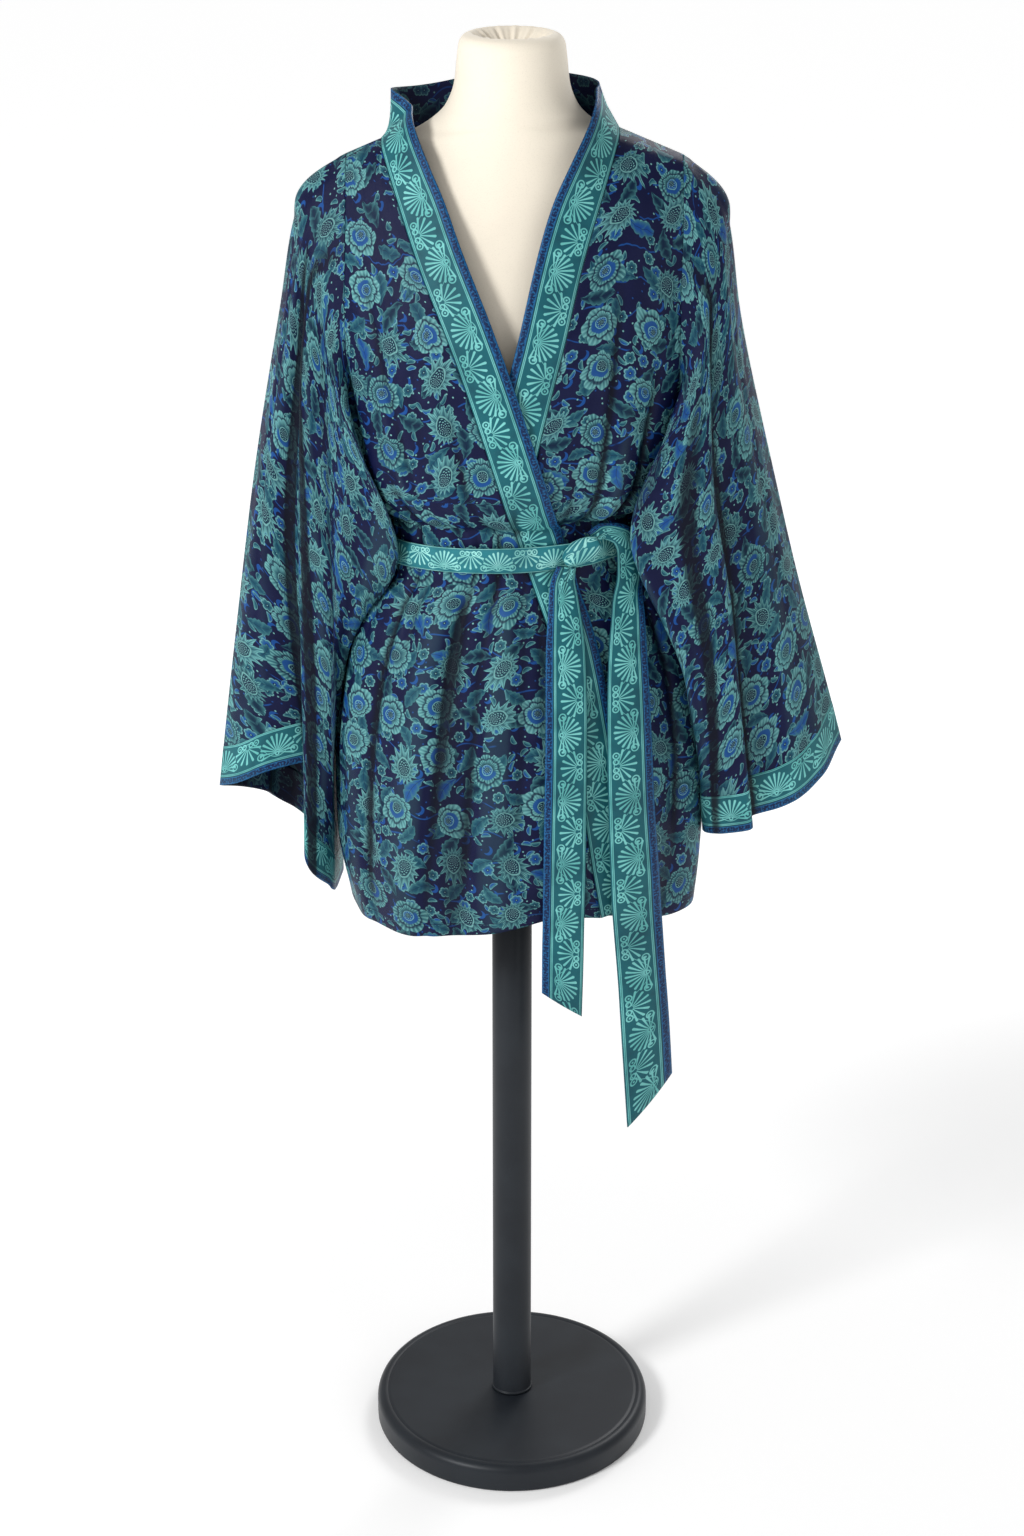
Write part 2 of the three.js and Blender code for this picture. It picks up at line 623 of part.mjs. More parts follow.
// The point a distance from a start, walking over the body's surface in a direction.
function walk(turn, level, direction, distance, lap) {
  const steps = 6;
  const at = (t, l) => bodyPoint(t, l, lap(t) * lapFade(l));
  const heading = direction.clone();
  let [t, l] = [turn, level];
  for (let i = 0; i < steps; i += 1) {
    const low = Math.max(0, l - 0.02);
    const round = at(t + 0.2, l).sub(at(t - 0.2, l)).multiplyScalar(1 / 0.4);
    const rise = at(t, l + 0.02).sub(at(t, low)).multiplyScalar(1 / (l + 0.02 - low));
    const [a, b, c] = [round.dot(round), round.dot(rise), rise.dot(rise)];
    const [p, q] = [round.dot(heading), rise.dot(heading)];
    const det = a * c - b * b;
    const dt = (p * c - q * b) / det;
    const dl = (q * a - p * b) / det;
    const moved = round.clone().multiplyScalar(dt).addScaledVector(rise, dl);
    const scale = distance / steps / moved.length();
    t += dt * scale;
    l += dl * scale;
    heading.copy(moved.normalize());
  }
  return at(t, l);
}

// The seam of one half of the neckband, from the hem up the front and round to the middle of the back.
function bandSeam(side) {
  const seam = side === "right" ? RIGHT_SEAM : LEFT_SEAM;
  const lap = side === "right" ? overLap : underLap;
  const rows = [];
  const high = TOP - 0.04;
  for (let j = 0; j <= BAND_ROWS; j += 1) {
    const level = high * (j / BAND_ROWS);
    const turn = seamTurn(seam, level);
    rows.push({ point: bodyPoint(turn, level, lap(turn) * lapFade(level)), turn, level, lap });
  }
  const shoulder = seamTop(side).x;
  const middle = (seamTop("right").x + seamTop("left").x) / 2;
  const endGap = side === "right" ? -SEAM_GAP / 2 : SEAM_GAP / 2;
  for (let j = 1; j <= NECK_ROWS; j += 1) {
    const swing = Math.cos((Math.PI * j) / NECK_ROWS / 2);
    const x = j === NECK_ROWS ? middle + endGap : mix(middle, shoulder, swing);
    const y = neckScoop(x) - SEAM_GAP / 3;
    let [low, top] = [TOP - 4, TOP - 0.001];
    let turn = 180;
    for (let i = 0; i < 40; i += 1) {
      const level = (low + top) / 2;
      const s = sectionAt(level);
      turn = 180 - Math.asin(Math.max(-1, Math.min(1, x / (x < 0 ? s.right : s.left)))) / RAD;
      if (plainPoint(turn, level).y > y) low = level;
      else top = level;
    }
    rows.push({ point: bodyPoint(turn, low, 0), turn, level: low });
  }
  return rows;
}

// One half of the neckband: flat on the body up the front, then lifting off to stand round the neck.
function bandGrid(side) {
  const rows = bandSeam(side);
  const sign = side === "right" ? 1 : -1;
  const last = rows.length - 1;
  const normals = rows.map((row) => bodyNormal(row.turn, row.level));
  const smoothed = normals.map((_, i) => {
    const sum = new THREE.Vector3();
    const reach = rows[i].level > TOP - 2 || i > BAND_ROWS ? 3 : 1;
    for (let k = -reach; k <= reach; k += 1) {
      const near = normals[Math.min(last, Math.max(0, i + k))];
      sum.addScaledVector(near, reach + 1 - Math.abs(k));
    }
    return sum.normalize();
  });
  const columns = Array.from({ length: BAND_COLUMNS + 1 }, () => []);
  rows.forEach((row, i) => {
    const run = rows[Math.min(last, i + 1)].point.clone().sub(rows[Math.max(0, i - 1)].point).normalize();
    if (i === last) run.set(sign, 0, 0);
    const normal = smoothed[i];
    const away = run.clone().cross(normal).multiplyScalar(sign).normalize();
    const stand = BAND_STAND[side];
    const round = i <= BAND_ROWS ? 0 : (i - BAND_ROWS) / NECK_ROWS;
    const front = stand.shoulder * smooth(BAND_STAND.flat, seamTop(side).height, row.point.z);
    const corner = mix(stand.shoulder, stand.behind, smooth(0, 0.3, round));
    const behind = mix(corner, stand.back, smooth(0.3, 1, round));
    const lift = (i <= BAND_ROWS ? front : behind) * RAD;
    const free = i <= BAND_ROWS ? smooth(BAND_STAND.flat - 30, BAND_STAND.flat + 40, row.point.z) : 1;
    for (let k = 0; k <= BAND_COLUMNS; k += 1) {
      const start = SEAM_GAP + (CLOTH / 2) * Math.sin(lift) * free;
      const reach = mix(start, BAND_WIDTH, k / BAND_COLUMNS);
      const ruled = row.point
        .clone()
        .addScaledVector(away, reach * Math.cos(lift))
        .addScaledVector(normal, reach * Math.sin(lift));
      const flat = free < 1 ? walk(row.turn, row.level, away, reach, row.lap) : ruled;
      columns[k].push(flat.lerp(ruled, free));
    }
  });
  return columns;
}

// A line through points, and the point at a share of its length.
function alongLine(points, share) {
  const lengths = [0];
  points.slice(1).forEach((p, k) => lengths.push(lengths[k] + p.distanceTo(points[k])));
  const target = clamp01(share) * lengths[lengths.length - 1];
  let i = 1;
  while (i < points.length - 1 && lengths[i] < target) i += 1;
  return points[i - 1].clone().lerp(points[i], (target - lengths[i - 1]) / (lengths[i] - lengths[i - 1]));
}

// The edges of the front and back round an armhole, each from the shoulder fold down to the underarm.
function armholeEdges(side, front, back) {
  const pick = (column) => column.slice(LOW_ROWS).map((p) => p.clone()).reverse();
  return {
    front: pick(side === "right" ? front[0] : front[front.length - 1]),
    back: pick(side === "right" ? back[back.length - 1] : back[0]),
  };
}

// Where a sleeve starts: just outside the armhole's edge.
function armholePoint(side, edges, place) {
  const near = place <= 0.5 ? place / 0.5 : (1 - place) / 0.5;
  const share = near ** ARMHOLE_FAN;
  const p = alongLine(place <= 0.5 ? edges.front : edges.back, share);
  const across = Math.min(1.5, share * 2.2);
  const gap = SEAM_GAP * 2 + (CLOTH / 2) * across;
  p.x += side === "right" ? -gap : gap;
  if (near < 0.04) p.y *= near / 0.04;
  return p;
}

// Places round a sleeve, closer together at its pleats.
function sleevePlaces(side) {
  const fine = 800;
  const bump = (u, p) => 2.4 * Math.exp(-(((u - p.place) / p.spread / 1.5) ** 2) / 2);
  const density = (u) => PLEATS[side].reduce((sum, p) => sum + bump(u, p), 1);
  const sums = [0];
  for (let i = 0; i < fine; i += 1) sums.push(sums[i] + density((i + 0.5) / fine));
  const places = [];
  for (let k = 0; k < SLEEVE_ROUND; k += 1) {
    const target = (k / SLEEVE_ROUND) * sums[fine];
    let i = 0;
    while (sums[i + 1] < target) i += 1;
    places.push((i + (target - sums[i]) / (sums[i + 1] - sums[i])) / fine);
  }
  return places;
}

function sleevePoint(side, edges, place, along) {
  const rings = side === "right" ? RIGHT_SLEEVE : LEFT_SLEEVE;
  const start = armholePoint(side, edges, place);
  const rows = [{ along: 0, x: start.x, y: start.y, z: start.z }];
  for (const { along: at, ring } of rings)
    rows.push({
      along: at,
      x: column(ring, "x", "place", place),
      y: column(ring, "y", "place", place),
      z: column(ring, "z", "place", place),
    });
  const p = vec(["x", "y", "z"].map((key) => column(rows, key, "along", along)));
  const inward = side === "right" ? 1 : -1;
  for (const pleat of PLEATS[side]) {
    const q = (place - pleat.place) / pleat.spread;
    if (Math.abs(q) > 5) continue;
    const face = pleat.place < 0.5 ? 1 : -1;
    const size = smooth(pleat.from, pleat.from + 0.3, along);
    p.x -= inward * face * pleat.lap * size * 1.65 * q * Math.exp((-q * q) / 2);
    p.y -= face * pleat.depth * size * Math.tanh(1.5 * q * face) * Math.exp((-q * q) / 8);
  }
  return p;
}

// Where the cuff's seam crosses a sleeve's lengthwise line: one cuff width from its end.
function cuffStart(side, edges, place) {
  let along = 1;
  let length = 0;
  let last = sleevePoint(side, edges, place, 1);
  const step = 0.004;
  while (length < CUFF_WIDTH) {
    along -= step;
    const next = sleevePoint(side, edges, place, along);
    const piece = next.distanceTo(last);
    if (length + piece >= CUFF_WIDTH) return along + step * (1 - (CUFF_WIDTH - length) / piece);
    length += piece;
    last = next;
  }
  return along;
}

// One sleeve and its cuff, as two walls that share their directions at the seam.
function sleeveWalls(side, front, back) {
  const edges = armholeEdges(side, front, back);
  const places = sleevePlaces(side);
  const seams = places.map((place) => cuffStart(side, edges, place));
  const points = places.map((place, i) => sleevePoint(side, edges, place, seams[i]));
  const n = places.length;
  const grid = places.map((place, i) => {
    const down = sleevePoint(side, edges, place, seams[i] + 0.01).sub(points[i]).normalize();
    const near = points[(i + 1) % n].clone().sub(points[(i + n - 1) % n]);
    const step = near.dot(down);
    const steep = Math.sqrt(1 + step ** 2 / Math.max(1, near.lengthSq() - step ** 2));
    const gap = (SEAM_GAP * 0.6 * steep * (1 - seams[i])) / CUFF_WIDTH;
    const at = (along) => sleevePoint(side, edges, place, along);
    const line = (low, high, rows, power) =>
      Array.from({ length: rows + 1 }, (_, j) => at(mix(low, high, (j / rows) ** power)));
    return [...line(0, seams[i] - gap, SLEEVE_ROWS, 1.15), ...line(seams[i] + gap, 1, CUFF_ROWS, 1)];
  });
  const normals = gridNormals(grid, true);
  const cut = (lines, from, to) => lines.map((line) => line.slice(from, to));
  return {
    sleeve: wall(cut(grid, 0, SLEEVE_ROWS + 1), CLOTH, true, cut(normals, 0, SLEEVE_ROWS + 1)),
    cuff: wall(cut(grid, SLEEVE_ROWS + 1), CLOTH, true, cut(normals, SLEEVE_ROWS + 1)),
  };
}

// The level whose ring stands at a height, in front where the rings are level.
function levelAt(height) {
  let [low, high] = [0, UNDERARM + 3];
  for (let i = 0; i < 40; i += 1) {
    const middle = (low + high) / 2;
    if (sectionAt(middle).height < height) low = middle;
    else high = middle;
  }
  return low;
}

// A point in front of the coat at an x and height, a distance out from its plain surface.
function frontPoint(x, height, out) {
  const level = levelAt(Math.max(height, BODY[0].height + 6));
  const turn = turnAtX(level, () => x);
  const p = plainPoint(turn, level).addScaledVector(bodyNormal(turn, level), out);
  p.z = height;
  return p;
}

// How far the coat's outermost layer stands off its plain surface at the waist.
const waistLayer = (turn) => mix(overLap(turn), underLap(turn), smooth(32, 46, turn)) + CLOTH / 2;

function sashGrid() {
  const columns = [];
  const count = 44;
  for (let i = 0; i < count; i += 1) {
    const turn = -180 + (360 * i) / count;
    columns.push(
      [0, 0.5, 1].map((share) => {
        const tilt = SASH.tilt * Math.sin(turn * RAD) * BODY[SASH_LOW].left;
        const height = SASH.middle + tilt + SASH.height * (share - 0.5);
        const level = levelAt(height);
        const belly = 1.6 * (1 - (2 * share - 1) ** 2);
        const away = ((turn + 540) % 360) - 180;
        const fold = Math.max(0, foldHeight(away, level));
        const out = waistLayer(away) + SASH.clear + SASH_CLOTH / 2 + belly + fold;
        return plainPoint(turn, level).addScaledVector(bodyNormal(turn, level), out);
      }),
    );
  }
  return columns;
}

// A hanging end of the sash along its path, cut slanting at the bottom.
function tailGrid({ path, slant }) {
  const rows = 18;
  const across = 3;
  const last = path.length - 1;
  const centre = (v) => new THREE.Vector2(column(path, "x", null, v), column(path, "height", null, v));
  return Array.from({ length: across + 1 }, (_, i) => {
    const u = (i / across) * 2 - 1;
    return Array.from({ length: rows + 1 }, (_, j) => {
      const v = last * (j / rows);
      const c = centre(v);
      const run = centre(Math.min(last, v + 0.05)).sub(centre(Math.max(0, v - 0.05))).normalize();
      const half = column(path, "width", null, v) / 2;
      const cut = slant * u * Math.max(0, v - last + 1);
      const height = c.y + run.x * half * u + cut;
      return frontPoint(c.x - run.y * half * u, height, column(path, "out", null, v) + 1.5 * (1 - u * u));
    });
  });
}

// The knot: a short roll of the sash lying aslant over it.
function knotRings() {
  const rings = [];
  const count = 9;
  const around = 16;
  const centre = frontPoint(KNOT.x, KNOT.height, KNOT.out);
  const [cos, sin] = [Math.cos(KNOT.turn * RAD), Math.sin(KNOT.turn * RAD)];
  for (let k = 0; k < count; k += 1) {
    const at = -0.94 + (1.88 * k) / (count - 1);
    const size = Math.sqrt(1 - at * at) ** 0.8;
    rings.push(
      Array.from({ length: around }, (_, i) => {
        const angle = (-2 * Math.PI * i) / around;
        const ripple = 1 + 0.06 * Math.cos(3 * angle + at * 2);
        const tall = KNOT.tall * size * ripple * Math.cos(angle);
        const deep = KNOT.deep * size * ripple * Math.sin(angle);
        const long = KNOT.long * at;
        const shift = new THREE.Vector3(long * cos - tall * sin, deep, long * sin + tall * cos);
        return shift.add(centre);
      }),
    );
  }
  return rings;
}

function formRings() {
  return FORM.map((s) =>
    Array.from({ length: FORM_ROUND }, (_, i) => {
      const angle = (2 * Math.PI * i) / FORM_ROUND;
      const [across, ahead] = [Math.cos(angle), Math.sin(angle)];
      const depth = Math.sign(ahead) * Math.abs(ahead) ** s.pinch * (ahead < 0 ? s.front : s.back);
      return new THREE.Vector3(s.reach * across, depth, s.height - s.fall * sag(across));
    }),
  );
}

const turned = (outline, depth) =>
  outline.map(({ radius, height }) =>
    Array.from({ length: STAND_ROUND }, (_, i) => {
      const angle = (2 * Math.PI * i) / STAND_ROUND;
      return new THREE.Vector3(radius * Math.cos(angle), radius * depth * Math.sin(angle), height);
    }),
  );

const parts = new THREE.Group();
const materials = {
  print: new THREE.MeshStandardMaterial({ color: COLOURS.print, roughness: 0.62, metalness: 0 }),
  border: new THREE.MeshStandardMaterial({ color: COLOURS.border, roughness: 0.6, metalness: 0 }),
  jersey: new THREE.MeshStandardMaterial({ color: COLOURS.jersey, roughness: 0.85, metalness: 0 }),
  metal: new THREE.MeshStandardMaterial({ color: COLOURS.metal, roughness: 0.45, metalness: 0.6 }),
};
function add(name, geometry, material) {
  const mesh = new THREE.Mesh(geometry, material.clone());
  mesh.name = name;
  parts.add(mesh);
}

const frontRight = frontGrid("right");
const frontLeft = frontGrid("left");
const back = backGrid();
const sleeveRight = sleeveWalls("right", frontRight, back);
const sleeveLeft = sleeveWalls("left", frontLeft, back);

add("front_right", wall(frontRight, CLOTH), materials.print);
add("front_left", wall(frontLeft, CLOTH), materials.print);
add("back", wall(back, CLOTH), materials.print);
add("neckband_right", wall(bandGrid("right"), CLOTH), materials.border);
add("neckband_left", wall(bandGrid("left"), CLOTH), materials.border);
add("sleeve_right", sleeveRight.sleeve, materials.print);
add("sleeve_left", sleeveLeft.sleeve, materials.print);
add("cuff_right", sleeveRight.cuff, materials.border);
add("cuff_left", sleeveLeft.cuff, materials.border);
add("sash_waist", wall(sashGrid(), SASH_CLOTH, true), materials.border);
add("sash_knot", ringSolid(knotRings()), materials.border);
add("sash_end_short", wall(tailGrid(SHORT_TAIL), SASH_CLOTH), materials.border);
add("sash_end_long", wall(tailGrid(LONG_TAIL), SASH_CLOTH), materials.border);
add("form_torso", ringSolid(formRings()), materials.jersey);
add("pole", ringSolid(turned(POLE, 1)), materials.metal);
add("base", ringSolid(turned(BASE, BASE_DEPTH)), materials.metal);

export default parts;
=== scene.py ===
# The looks of a short kimono coat, tied with a sash, on a dress form with a pole and a base.
# Shapes are worked out in millimetres, in the model's own frame, and meshes are made in metres.
import math

import bpy
import numpy as np
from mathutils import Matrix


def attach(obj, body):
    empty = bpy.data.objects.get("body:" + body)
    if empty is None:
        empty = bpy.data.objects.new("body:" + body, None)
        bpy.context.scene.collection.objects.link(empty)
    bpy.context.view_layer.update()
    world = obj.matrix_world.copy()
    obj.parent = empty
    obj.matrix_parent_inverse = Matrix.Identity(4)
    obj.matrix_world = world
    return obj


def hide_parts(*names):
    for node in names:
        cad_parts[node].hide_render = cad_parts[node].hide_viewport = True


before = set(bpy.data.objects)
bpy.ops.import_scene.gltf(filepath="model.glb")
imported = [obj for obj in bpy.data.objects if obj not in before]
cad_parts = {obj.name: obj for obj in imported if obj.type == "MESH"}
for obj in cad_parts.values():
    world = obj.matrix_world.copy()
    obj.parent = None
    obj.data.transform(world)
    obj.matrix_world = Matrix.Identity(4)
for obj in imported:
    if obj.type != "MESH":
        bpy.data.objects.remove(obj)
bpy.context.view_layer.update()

M = 0.001  # metres in a millimetre
RAD = math.pi / 180
FULL = 2 * math.pi
SIDES = ("right", "left")

# Cloth
CLOTH = 1.1  # thickness of a panel
BAND_CLOTH = 1.5  # the bands are sewn double
SASH_CLOTH = 2.4
TAIL_CLOTH = 1.8
WALL = 1.5  # thickness of the model's own walls, which the seams are worked out from
SEAM_GAP = 0.4
SHOULDER_GAP = 0.5
LAP = 2.6  # each crossing front stands this far off the plain body surface
SLEEVE_CLEAR = 3.2  # between a sleeve and the panel it lies on, middle to middle
BAND_WIDTH = 45
CUFF_WIDTH = 44
CUFF_OVERLAP = 1.5  # a sleeve's end runs this far into its cuff
NECK_BACK = 60
NECK_CORNER = 2.2
ARMHOLE = {"right": 160, "left": 165}
ARMHOLE_FAN = 1.8

# Mesh counts
FRONT_COLUMNS = 84
BACK_COLUMNS = 120
LOW_ROWS = 110
HIGH_ROWS = 110
SLEEVE_ROUND = 190
SLEEVE_ROWS = 170
CUFF_ROWS = 16
BAND_COLUMNS = 12
HOLLOW_REACH = 14  # folds narrower than about twice this are shaded by their depth
HOLLOW_DEPTH = 2.4
FINE = 5  # rows of a neckband for each row that its directions are smoothed over
BAND_ROWS = 34 * FINE
NECK_ROWS = 9 * FINE
SASH_ROUND = 240
SASH_ROWS = 12
TAIL_ROWS = 150
TAIL_COLUMNS = 14
FORM_ROUND = 144
FORM_STEPS = 7
STAND_ROUND = 128
KNOT_RINGS = 40
KNOT_ROUND = 56


def table(columns, *rows):
    return {name: np.array(values, float) for name, values in zip(columns.split(), zip(*rows))}


# Sections of the body, from hem to shoulder fold.
BODY = table(
    "height fall right left front back",
    (640, 0, 168, 191, 128, 126),  # hem
    (715, 0, 181, 197, 136, 133),
    (800, 0, 182, 199, 134, 130),
    (900, 0, 171, 186, 120, 116),
    (975, 0, 147, 158, 106, 101),
    (1011, 0, 130, 136, 96, 91),  # sash, low edge
    (1061, 0, 130, 136, 96, 91),  # sash, high edge
    (1076, 0, 144, 150, 110, 102),
    (1100, 0, 160, 165, 123, 113),  # underarm
    (1170, 2, 173, 178, 130, 117),
    (1250, 10, 183, 187, 126, 114),
    (1340, 30, 189, 192, 104, 102),
    (1418, 52, 190, 193, 67, 76),
    (1464, 66, 190, 193, 27, 31),
    (1474, 72, 190, 193, 0, 0),  # shoulder fold
)
TOP = len(BODY["height"]) - 1
SASH_LOW = 5
UNDERARM = 8

# Soft folds that the solids have too: turn is degrees round from the front middle to the wearer's left.
FOLDS = table(
    "turn spread out low high lean",
    (-62, 5, 4, 0, 4.8, 0),
    (-40, 6, 5, 0, 4.8, 3),
    (-22, 5, -5, 0, 4.8, 1),
    (-6, 5, 5, 0, 4.8, 1),
    (55, 5, -5, 0, 4.8, 0),
    (74, 5, 4, 0, 4.8, 0),
    (-14, 4, 4, 7, 10.5, -5),
    (-30, 4.5, 5, 7, 10.5, -5),
    (-50, 5, 4, 7, 9.6, -4),
    (36, 4.5, 5, 7, 10.5, 1),
    (56, 5, 4, 7, 9.6, 3),
    (112, 6, 4, 0, 4.8, 0),
    (134, 6, 5, 0, 4.8, 0),
    (157, 6, 4, 0, 4.8, 1),
    (181, 6, 5, 0, 4.8, 0),
    (204, 6, 4, 0, 4.8, -1),
    (226, 6, 5, 0, 4.8, 0),
    (248, 6, 4, 0, 4.8, 0),
    (140, 6, 4, 7, 10.5, -1),
    (165, 6, 5, 7, 10.5, 0),
    (193, 6, 5, 7, 10.5, 0),
    (219, 6, 4, 7, 10.5, 1),
)

# Finer creases, gathered by the sash and running up over the chest and down the skirt, most of them troughs.
CREASES = table(
    "turn spread out low high lean",
    (-84, 2.0, -3.4, 6.0, 9.6, 2),
    (-74, 1.6, 2.2, 6.9, 9.0, -1),
    (-67, 1.8, -4.2, 6.0, 10.6, -3),
    (-60, 1.4, -2.6, 6.0, 8.4, -2),
    (-54, 1.6, 2.0, 6.9, 9.6, -3),
    (-45, 1.8, -4.4, 6.0, 11.2, -5),
    (-37, 1.3, -2.4, 6.0, 8.8, -3),
    (-31, 1.5, 2.2, 6.9, 9.8, -5),
    (-24, 1.8, -4.2, 6.0, 11.4, -5),
    (-16, 1.4, -2.6, 6.0, 8.6, -2),
    (-7, 1.6, -3.4, 6.0, 9.8, -4),
    (3, 1.4, -2.2, 6.0, 8.4, -1),
    (21, 1.4, -2.8, 6.0, 9.2, 0),
    (29, 1.7, -4.2, 6.0, 11.2, 1),
    (36, 1.3, 2.0, 6.9, 9.4, 1),
    (43, 1.6, -3.8, 6.0, 10.2, 2),
    (51, 1.4, 2.2, 6.9, 9.2, 3),
    (58, 1.3, -2.4, 6.0, 8.6, 1),
    (66, 1.9, -4.0, 6.0, 10.4, 3),
    (77, 1.6, 2.0, 6.9, 9.0, 2),
    (84, 1.8, -3.2, 6.0, 9.4, 2),
    (-80, 2.0, -3.2, 1.2, 6.4, 0),
    (-72, 1.5, 1.8, 2.4, 5.1, 1),
    (-63, 1.5, -2.4, 3.2, 6.4, 1),
    (-54, 1.9, -4.0, 0.6, 6.4, 2),
    (-46, 1.4, 1.8, 2.8, 5.1, 2),
    (-40, 1.4, -2.6, 3.4, 6.4, 1),
    (-31, 1.9, -4.2, 0.2, 6.4, 3),
    (-23, 1.4, -2.4, 3.2, 6.4, 1),
    (-15, 1.8, -3.8, 1.0, 6.4, 2),
    (-7, 1.4, -2.2, 3.5, 6.4, 1),
    (1, 1.8, -3.6, 1.4, 6.4, 1),
    (9, 1.5, -2.4, 2.6, 6.4, 0),
    (20, 1.6, -2.6, 2.0, 6.4, 0),
    (60, 1.8, -3.4, 1.2, 6.4, 0),
    (70, 1.4, -2.2, 3.0, 6.4, 0),
    (82, 1.9, -3.6, 0.8, 6.4, 0),
    (98, 1.6, -2.4, 2.6, 6.4, 0),
    (108, 1.8, -3.2, 1.2, 6.4, 1),
    (122, 1.9, -3.8, 0.7, 6.4, 1),
    (133, 1.4, -2.2, 3.2, 6.4, 0),
    (146, 1.8, -3.6, 1.4, 6.4, 0),
    (158, 1.4, -2.4, 3.4, 6.4, 0),
    (169, 1.9, -4.0, 0.4, 6.4, 0),
    (180, 1.4, -2.2, 3.0, 6.4, 0),
    (192, 1.7, -3.4, 1.7, 6.4, 0),
    (203, 1.4, -2.4, 3.3, 6.4, 0),
    (214, 1.9, -3.8, 0.8, 6.4, -1),
    (226, 1.4, -2.2, 3.1, 6.4, 0),
    (238, 1.8, -3.4, 1.2, 6.4, -1),
    (252, 1.8, -3.0, 1.0, 6.4, 0),
    (104, 1.8, -3.0, 6.0, 9.2, -2),
    (117, 1.5, -2.4, 6.0, 8.6, -1),
    (128, 1.9, -3.8, 6.0, 10.2, -2),
    (141, 1.4, -2.4, 6.0, 8.8, -1),
    (153, 1.8, -4.2, 6.0, 11.2, -1),
    (166, 1.4, -2.2, 6.0, 8.6, 0),
    (178, 1.8, -3.8, 6.0, 10.2, 0),
    (190, 1.4, -2.4, 6.0, 8.8, 0),
    (206, 1.8, -4.0, 6.0, 11.0, 1),
    (219, 1.4, -2.4, 6.0, 8.8, 1),
    (232, 1.9, -3.8, 6.0, 10.4, 2),
    (246, 1.5, 2.0, 6.9, 9.0, 2),
    (255, 1.8, -3.0, 6.0, 9.2, 2),
)

HEM_RISE = table(
    "turn rise", (-90, 0), (-38, -6), (0, 12), (14, 22), (34, 14), (60, -4), (90, 0), (180, -4), (270, 0)
)
SEAMS = {
    "right": table(
        "height x",
        (637, 90), (714, 80), (932, 44), (1034, 11), (1158, -26), (1247, -56), (1334, -92), (1426, -126),
    ),
    "left": table("height x", (637, -44), (1040, 2), (1158, 27), (1247, 49), (1334, 70), (1436, 103)),
}
BAND_FLAT = 1350
BAND_STAND = {
    "right": {"shoulder": 24, "behind": 62, "back": 60},
    "left": {"shoulder": 38, "behind": 44, "back": 60},
}

# Sleeve rings: place 0 is the outer fold, 0.25 the front, 0.5 the underarm, 0.75 the back.
SLEEVE_ALONG = (0.1, 0.3, 0.62, 1)
SLEEVE_RINGS = {
    "right": (
        table(
            "place x y z",
            (0, -206, 0, 1368), (0.12, -201, -26, 1352), (0.235, -193, -46, 1315), (0.33, -180, -60, 1245),
            (0.42, -168, -76, 1142), (0.47, -156, -68, 1094), (0.53, -171, -12, 1080), (0.6, -174, 30, 1120),
            (0.75, -184, 50, 1245), (0.88, -200, 32, 1344), (1, -206, 0, 1368),
        ),
        table(
            "place x y z",
            (0, -228, 0, 1262), (0.12, -222, -34, 1240), (0.235, -206, -50, 1200), (0.33, -181, -62, 1145),
            (0.42, -150, -74, 1066), (0.47, -132, -60, 1024), (0.53, -136, -16, 1024), (0.62, -160, 32, 1060),
            (0.75, -190, 52, 1140), (0.88, -216, 38, 1225), (1, -228, 0, 1262),
        ),
        table(
            "place x y z",
            (0, -266, 2, 1040), (0.12, -252, -26, 1034), (0.235, -214, -40, 990), (0.33, -182, -52, 925),
            (0.42, -183, -26, 892), (0.5, -181, 44, 885), (0.58, -184, 76, 895), (0.75, -216, 80, 950),
            (0.88, -250, 46, 1010), (1, -266, 2, 1040),
        ),
        table(
            "place x y z",
            (0, -303, 4, 754), (0.07, -284, -14, 764), (0.14, -254, -24, 779), (0.2, -214, -24, 789),
            (0.272, -208, -36, 684), (0.33, -201, -14, 650), (0.42, -192, 26, 632), (0.5, -182, 70, 630),
            (0.58, -190, 92, 650), (0.75, -228, 86, 692), (0.88, -274, 50, 734), (1, -303, 4, 754),
        ),
    ),
    "left": (
        table(
            "place x y z",
            (0, 207, 0, 1362), (0.12, 203, -28, 1344), (0.27, 191, -56, 1280), (0.36, 184, -72, 1210),
            (0.44, 162, -84, 1126), (0.5, 172, -34, 1080), (0.56, 178, 8, 1090), (0.64, 180, 36, 1156),
            (0.75, 189, 50, 1244), (0.88, 202, 34, 1338), (1, 207, 0, 1362),
        ),
        table(
            "place x y z",
            (0, 225, 0, 1255), (0.12, 219, -42, 1228), (0.27, 197, -72, 1160), (0.36, 168, -86, 1092),
            (0.44, 133, -84, 1042), (0.5, 146, -46, 1014), (0.62, 170, 12, 1060), (0.75, 192, 50, 1134),
            (0.88, 214, 44, 1216), (1, 225, 0, 1255),
        ),
        table(
            "place x y z",
            (0, 276, 2, 1038), (0.12, 262, -34, 1022), (0.27, 222, -60, 970), (0.36, 200, -76, 925),
            (0.44, 193, -72, 898), (0.5, 194, -46, 884), (0.62, 208, 10, 900), (0.75, 232, 50, 945),
            (0.88, 262, 44, 1005), (1, 276, 2, 1038),
        ),
        table(
            "place x y z",
            (0, 340, 6, 804), (0.09, 322, -22, 779), (0.18, 292, -42, 755), (0.27, 250, -54, 738),
            (0.36, 226, -54, 726), (0.5, 206, -28, 722), (0.62, 218, 14, 736), (0.75, 256, 44, 766),
            (0.88, 306, 42, 794), (1, 340, 6, 804),
        ),
    ),
}
